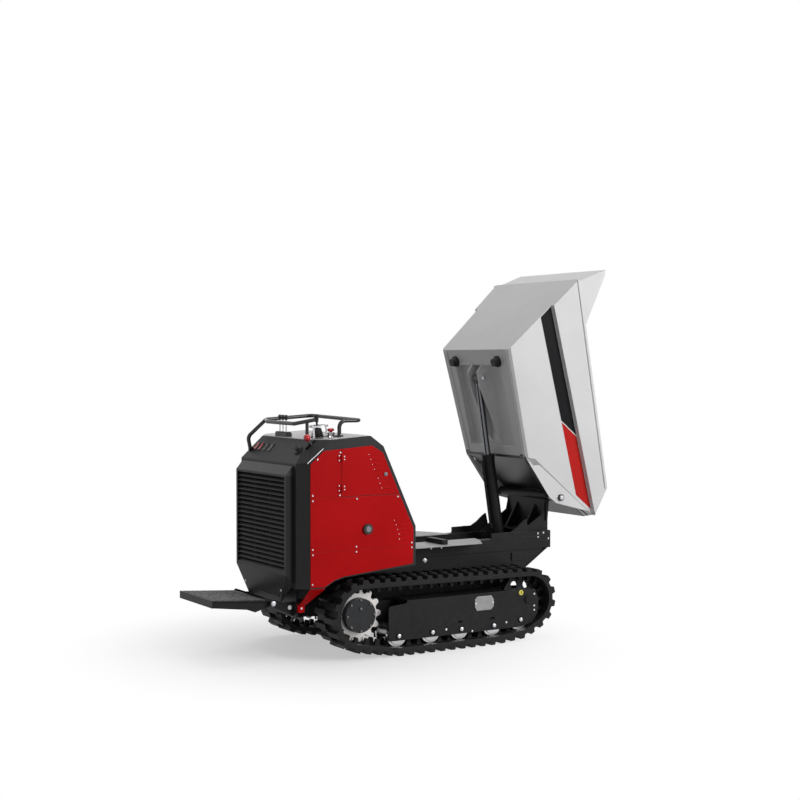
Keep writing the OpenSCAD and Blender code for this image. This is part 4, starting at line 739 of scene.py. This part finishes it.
# undercarriage: covers, caps and bolts on the track frames, and near-black plates of painted shade where slots open
trackSide = {
    "cover": {"centre": (289, 256), "thick": 5.5, "sink": 0.5, "bevel": 0.0012, "bolts": [(-63, 0), (63, -2)],
              "outline": [(-69, -18), (-56, -43), (50, -43), (69, -24), (69, 18), (52, 43), (-52, 43), (-69, 26)]},
    "cap": {"centre": (565, 297), "radius": 16.5, "height": 5.0, "shoulder": 0.7, "crown": 0.9, "smooth": 40},
    "capSlot": {"size": (0.020, 0.004, 0.0018), "way": (0.35, 0.94), "sink": 0.2, "thick": 0.0006},
    "bolts": [(16, 120), (203, 93), (456, 123)], "axleOut": 9.0,
    "frontBolts": [(668, 281), (667, 208), (667, 181)],
    "slots": [(116, 158), (354, 158)], "slot": {"size": (0.034, 0.015, 0.0072), "sink": 0.3, "thick": 0.0009},
    "hub": {"centre": (-554, 249), "ring": 90.0, "count": 8, "plug": (0, 40), "face": 426.0},
}


# a near-black plate where a slot opens: painted shade standing for the dark inside of the slot
def slotShadePlate(name, middle, across, upward, out, slot):
    outline = roundedOutline(middle, across, upward, *slot["size"])
    plate(name, [outline], out * slot["thick"], "carrier", "deepShadow")


def dressTracks():
    face = machine["trackPlate"]
    cover, cap, capSlot, slot, hub = (trackSide[name] for name in ("cover", "cap", "capSlot", "slot", "hub"))
    turns = [2 * math.pi * k / hub["count"] for k in range(hub["count"])]
    ring = [(hub["ring"] * math.cos(a), hub["ring"] * math.sin(a)) for a in turns] + [hub["plug"]]
    for side, s in sides.items():
        out = Vector((0, s, 0))
        x0, z0 = cover["centre"]
        outline = [at(x0 + x, s * (face - cover["sink"]), z0 + z) for x, z in cover["outline"]]
        plate(f"track_cover_{side}", [outline], out * (cover["thick"] + cover["sink"]) / 1000, "carrier",
              "coverGrey", cover["bevel"])
        spots = [(at(x0 + x, s * (face + cover["thick"]), z0 + z), out) for x, z in cover["bolts"]]
        bolts(f"cover_bolts_{side}", "small", "carrier", spots)
        x0, z0 = cap["centre"]
        r, h = cap["radius"] / 1000, cap["height"] / 1000
        profile = [(0, 0), (r, 0), (r, h * cap["shoulder"]), (r * cap["crown"], h), (0, h)]
        work = bmesh.new()
        addLathe(work, profile, at(x0, s * face, z0), out)
        settle(f"grease_cap_{side}", closedMesh("greaseCap", work), "carrier", "capYellow",
               cap["smooth"])
        wayX, wayZ = capSlot["way"]
        slotShadePlate(f"cap_slot_shade_{side}", at(x0, s * (face + cap["height"] - capSlot["sink"]), z0), Vector((wayX, 0, wayZ)),
                 Vector((wayZ, 0, -wayX)), out, capSlot)
        for label, places in (("track", trackSide["bolts"]), ("idler", trackSide["frontBolts"])):
            bolts(f"{label}_bolts_{side}", "small", "carrier", [(at(x, s * face, z), out) for x, z in places])
        x0, z0 = hub["centre"]
        heads = [(at(x0 + x, s * hub["face"], z0 + z), out) for x, z in ring]
        bolts(f"hub_bolts_{side}", "small", f"drive_{side}", heads, "latchSteel")
        axles = [(at(x, s * (face + trackSide["axleOut"]), z), out) for x, z in rollers["places"]]
        bolts(f"axle_bolts_{side}", "axle", "carrier", axles)
        for number, (x, z) in enumerate(trackSide["slots"], 1):
            slotShadePlate(f"track_slot_shade_{side}_{number}", at(x, s * (face - slot["sink"]), z), Vector((1, 0, 0)),
                     Vector((0, 0, 1)), out, slot)


dressTracks()
print("undercarriage dressed")

# main frame: bolts on rail and stand, single bolts as (size, place, y), weld beads
frameSide = {
    "railBolts": [(52, 579), (127, 579), (863, 622), (863, 600), (906, 624), (946, 585)], "railY": 230.0,
    "singles": {"rail_pin": ("hex", (12, 507), 222.0), "strut_bolt": ("small", (-881, 304), 310.5),
                "arm_bolt": ("hex", (-925, 306), 252.0)},
    "beads": [[(505, 604), (800, 604)], [(700, 605), (938, 605)]], "beadSink": 1.5,
    "bead": {"Pitch": 0.005, "Radius": 0.0042},
}


def dressFrame():
    edges = [(2 * k, 2 * k + 1) for k in range(len(frameSide["beads"]))]
    for side, s in sides.items():
        out = Vector((0, s, 0))
        spots = [(at(x, s * frameSide["railY"], z), out) for x, z in frameSide["railBolts"]]
        bolts(f"rail_bolts_{side}", "small", "carrier", spots)
        for label, (size, (x, z), y) in frameSide["singles"].items():
            bolts(f"{label}_{side}", size, "carrier", [(at(x, s * y, z), out)])
        y = s * (frameSide["railY"] - frameSide["beadSink"])
        runs = [at(x, y, z) for run in frameSide["beads"] for x, z in run]
        values = dict(frameSide["bead"], Finish=materials["frame_paint"])
        mesh = growMesh(f"weld{side}", beadTree, values, runs, edges=edges)
        settle(f"weld_beads_{side}", mesh, "carrier")


dressFrame()
print("frame dressed")

# operator platform: raised tread whose light lugs are partly worn metal and partly a painted highlight, and hinge bolts
tread = {"rear": (-1400, 378), "front": (-1046, 352), "rearHalf": 226, "frontHalf": 235, "margin": 16,
         "fallSpan": 0.92, "fallStart": 0.04, "rows": 15, "columns": 19,
         "lug": {"Length": 0.025, "Width": 0.008, "Rise": 0.004}, "pin": (-1030, 336), "pinY": 252.5}


def dressPlatform():
    spots = []
    (x0, z0), (x1, z1), margin, columns = tread["rear"], tread["front"], tread["margin"], tread["columns"]
    for row in range(tread["rows"]):
        t = (row + 0.5) / tread["rows"]
        x = x0 + margin + (x1 - x0 - 2 * margin) * t
        z = z0 + (z1 - z0) * (t * tread["fallSpan"] + tread["fallStart"])
        half = tread["rearHalf"] + (tread["frontHalf"] - tread["rearHalf"]) * t - margin
        spots += [at(x, half * (2 * (column + 0.5) / columns - 1), z) for column in range(columns)]
    values = dict(tread["lug"], Columns=columns, Finish=materials["treadWearAndGlint"])
    settle("platform_tread", growMesh("tread", treadTree, values, spots), "foot_platform")
    x, z = tread["pin"]
    for side, s in sides.items():
        bolts(f"platform_pin_{side}", "hex", "carrier", [(at(x, s * tread["pinY"], z), Vector((0, s, 0)))])


dressPlatform()
print("platform dressed")

# control desk: stick boot and guard, stop body, switch bezels, rail foot
deskPlace = {"z0": 1267.0, "x0": -869.0, "rise": 24.0 / 387.0}
stickPlace = (-716, -200)
boot = {"hole": (13.5, 1.0), "flange": 41.0, "flangeLow": 0.5, "flangeHigh": 4.0, "foot": 35.0, "footUp": 5.5,
        "neck": 23.5, "height": 53.0, "folds": 4, "fold": 4.2, "foldIn": 0.6, "foldFade": 0.5, "foldLow": 7.0,
        "foldHigh": 1.0, "mouth": 16.8, "mouthLow": 6.0, "steps": 40, "smooth": 38}
guard = {"low": 60.0, "thick": 9.0, "inner": 47.0, "outer": 67.0, "steps": 48, "smooth": 35, "legs": [0, 150, 222],
         "legWide": 13.0, "legOut": 62.0, "legThick": 3.5, "legLap": 1.0, "footIn": 44.0, "footOut": 5.0,
         "footThick": 3.0}
stopCollar = {"place": (-654, -250), "ribs": 14, "radius": 19.0, "height": 20.0, "up": 3.0, "root": -2.0, "crest": 2.2,
              "rootHalf": 1.7, "crestHalf": 1.4}
railFoot = {"place": (-627, -300), "high": 8.0, "ring": 18.0, "turns": (0.5, 2.6, 4.7)}
bezel = {"rows": [270, 214, 152, 84], "middle": (-875.78, 1206.22), "along": (0.66907, 0.7432), "lift": 0.2,
         "outer": (58.0, 38.0), "inner": (47.4, 27.0), "thick": 3.0}


# a place on the sloping desk, and the desk's own directions
def onDesk(place):
    x, y = place
    return at(x, y, deskPlace["z0"] + (x - deskPlace["x0"]) * deskPlace["rise"])


deskUp = Vector((-deskPlace["rise"], 0, 1)).normalized()
deskAcross = Vector((0, 1, 0))
deskAhead = deskAcross.cross(deskUp)


def deskWay(angle):
    return deskAhead * math.cos(angle) + deskAcross * math.sin(angle)


def makeBoot():
    profile = [boot["hole"], (boot["flange"], boot["flangeLow"]), (boot["flange"], boot["flangeHigh"]),
               (boot["foot"], boot["footUp"])]
    for k in range(boot["folds"] * 2 + 1):
        t = k / (boot["folds"] * 2)
        swell = boot["fold"] if k % 2 else -boot["fold"] * boot["foldIn"]
        radius = boot["foot"] + (boot["neck"] - boot["foot"]) * t + swell * (1 - boot["foldFade"] * t)
        profile.append((radius, boot["foldLow"] + (boot["height"] - boot["foldLow"] - boot["foldHigh"]) * t))
    profile += [(boot["mouth"], boot["height"]), (boot["mouth"], boot["mouthLow"]), boot["hole"]]
    work = bmesh.new()
    addLathe(work, [(r / 1000, h / 1000) for r, h in profile], onDesk(stickPlace), deskUp, boot["steps"])
    piece = settle("stick_boot", closedMesh("stickBoot", work), "carrier", "black_plastic",
                   boot["smooth"])
    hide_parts("joystick_boot")


def makeGuard():
    foot = onDesk(stickPlace)
    inner, outer, low, high = guard["inner"], guard["outer"], guard["low"], guard["low"] + guard["thick"]
    hoop = [(inner, low), (outer, low), (outer, high), (inner, high), (inner, low)]
    work = bmesh.new()
    addLathe(work, [(r / 1000, h / 1000) for r, h in hoop], foot, deskUp, guard["steps"])
    far, toe, sole, top = guard["legOut"], guard["legOut"] + guard["footOut"], guard["footThick"], low + guard["legLap"]
    near = far - guard["legThick"]
    spine = [(guard["footIn"], 0), (toe, 0), (toe, sole), (far, sole), (far, top), (near, top), (near, sole),
             (guard["footIn"], sole)]
    for turn in guard["legs"]:
        way = deskWay(math.radians(turn))
        half = deskUp.cross(way) * guard["legWide"] / 2000
        addPrism(work, [foot + way * (r / 1000) + deskUp * (h / 1000) - half for r, h in spine], half * 2)
    settle("stick_guard", closedMesh("stickGuard", work), "carrier", "bright_steel", guard["smooth"])


def dressDesk():
    foot = onDesk(stopCollar["place"]) + deskUp * (stopCollar["up"] / 1000)
    ribs = []
    for k in range(stopCollar["ribs"]):
        way = deskWay(2 * math.pi * k / stopCollar["ribs"])
        aside = deskUp.cross(way)
        ribs.append([foot + way * ((stopCollar["radius"] + stopCollar[part]) / 1000)
                     + aside * (turn * stopCollar[part + "Half"] / 1000)
                     for part, turn in (("root", -1), ("root", 1), ("crest", 1), ("crest", -1))])
    plate("stop_ribs", ribs, deskUp * stopCollar["height"] / 1000, "carrier", "grey_plastic")
    foot = onDesk(railFoot["place"]) + deskUp * railFoot["high"] / 1000
    ring = [Vector((math.cos(a), math.sin(a), 0)) * railFoot["ring"] / 1000 for a in railFoot["turns"]]
    spots = [(foot + way, deskUp) for way in ring]
    bolts("rail_foot_bolts", "rivet", "carrier", spots)
    along = Vector((bezel["along"][0], 0, bezel["along"][1]))
    out = Vector((-along.z, 0, along.x))

    def corners(middle, size):
        return [middle + along * (sx * size[0] / 2000) + deskAcross * (sy * size[1] / 2000) for sx, sy in quadrants]

    strips = []
    for y in bezel["rows"]:
        middle = at(bezel["middle"][0], y, bezel["middle"][1]) + out * (bezel["lift"] / 1000)
        inner, outer = corners(middle, bezel["inner"]), corners(middle, bezel["outer"])
        strips += [[outer[k], outer[(k + 1) % 4], inner[(k + 1) % 4], inner[k]] for k in range(4)]
    plate("switch_bezels", strips, out * (bezel["thick"] / 1000), "carrier", "black_plastic")


makeBoot()
makeGuard()
dressDesk()
print("desk dressed")

# rear grille: pressed rib and bolts on its tail, sloping sheet over the louvres in a lighter grey that is a painted
# highlight
tail = {"top": (-987, 499), "foot": (-962, 333), "bolts": [(-232, 0.43), (230, 0.43)],
        "rib": {"up": 0.2, "y0": -200, "y1": 70, "high": 10, "round": 0.0048, "sink": 0.0004, "thick": 0.0034,
                "bevel": 0.0014},
        "hood": {"high": (-944.5, 1121.5), "low": (-988, 1070), "half": 319.8, "thick": 4.0}}


def dressTail():
    (x0, z0), (x1, z1), rib, hood = tail["top"], tail["foot"], tail["rib"], tail["hood"]
    down = Vector((x1 - x0, 0, z1 - z0)).normalized()
    out = Vector((down.z, 0, -down.x))

    def spot(t, y):
        return at(x1 + (x0 - x1) * t, y, z1 + (z0 - z1) * t)

    middle = (spot(rib["up"], rib["y0"]) + spot(rib["up"], rib["y1"])) / 2 - out * rib["sink"]
    outline = roundedOutline(middle, Vector((0, 1, 0)), down, (rib["y1"] - rib["y0"]) / 1000, rib["high"] / 1000,
                             rib["round"])
    plate("tail_rib", [outline], out * rib["thick"], "carrier", "body_paint", rib["bevel"])
    corners = [at(hood[edge][0], turn * hood["half"], hood[edge][1])
               for edge, turn in (("high", -1), ("high", 1), ("low", 1), ("low", -1))]
    inward = (corners[1] - corners[0]).cross(corners[2] - corners[1]).normalized() * hood["thick"] / 1000
    if inward.z > 0:
        inward = -inward
    # the sheet is coloured lighter than the body as a painted highlight
    plate("grille_hood", [corners], inward, "carrier", "hoodLitPaint")
    bolts("tail_bolts", "small", "carrier", [(spot(t, y), out) for y, t in tail["bolts"]])


dressTail()
print("grille dressed")
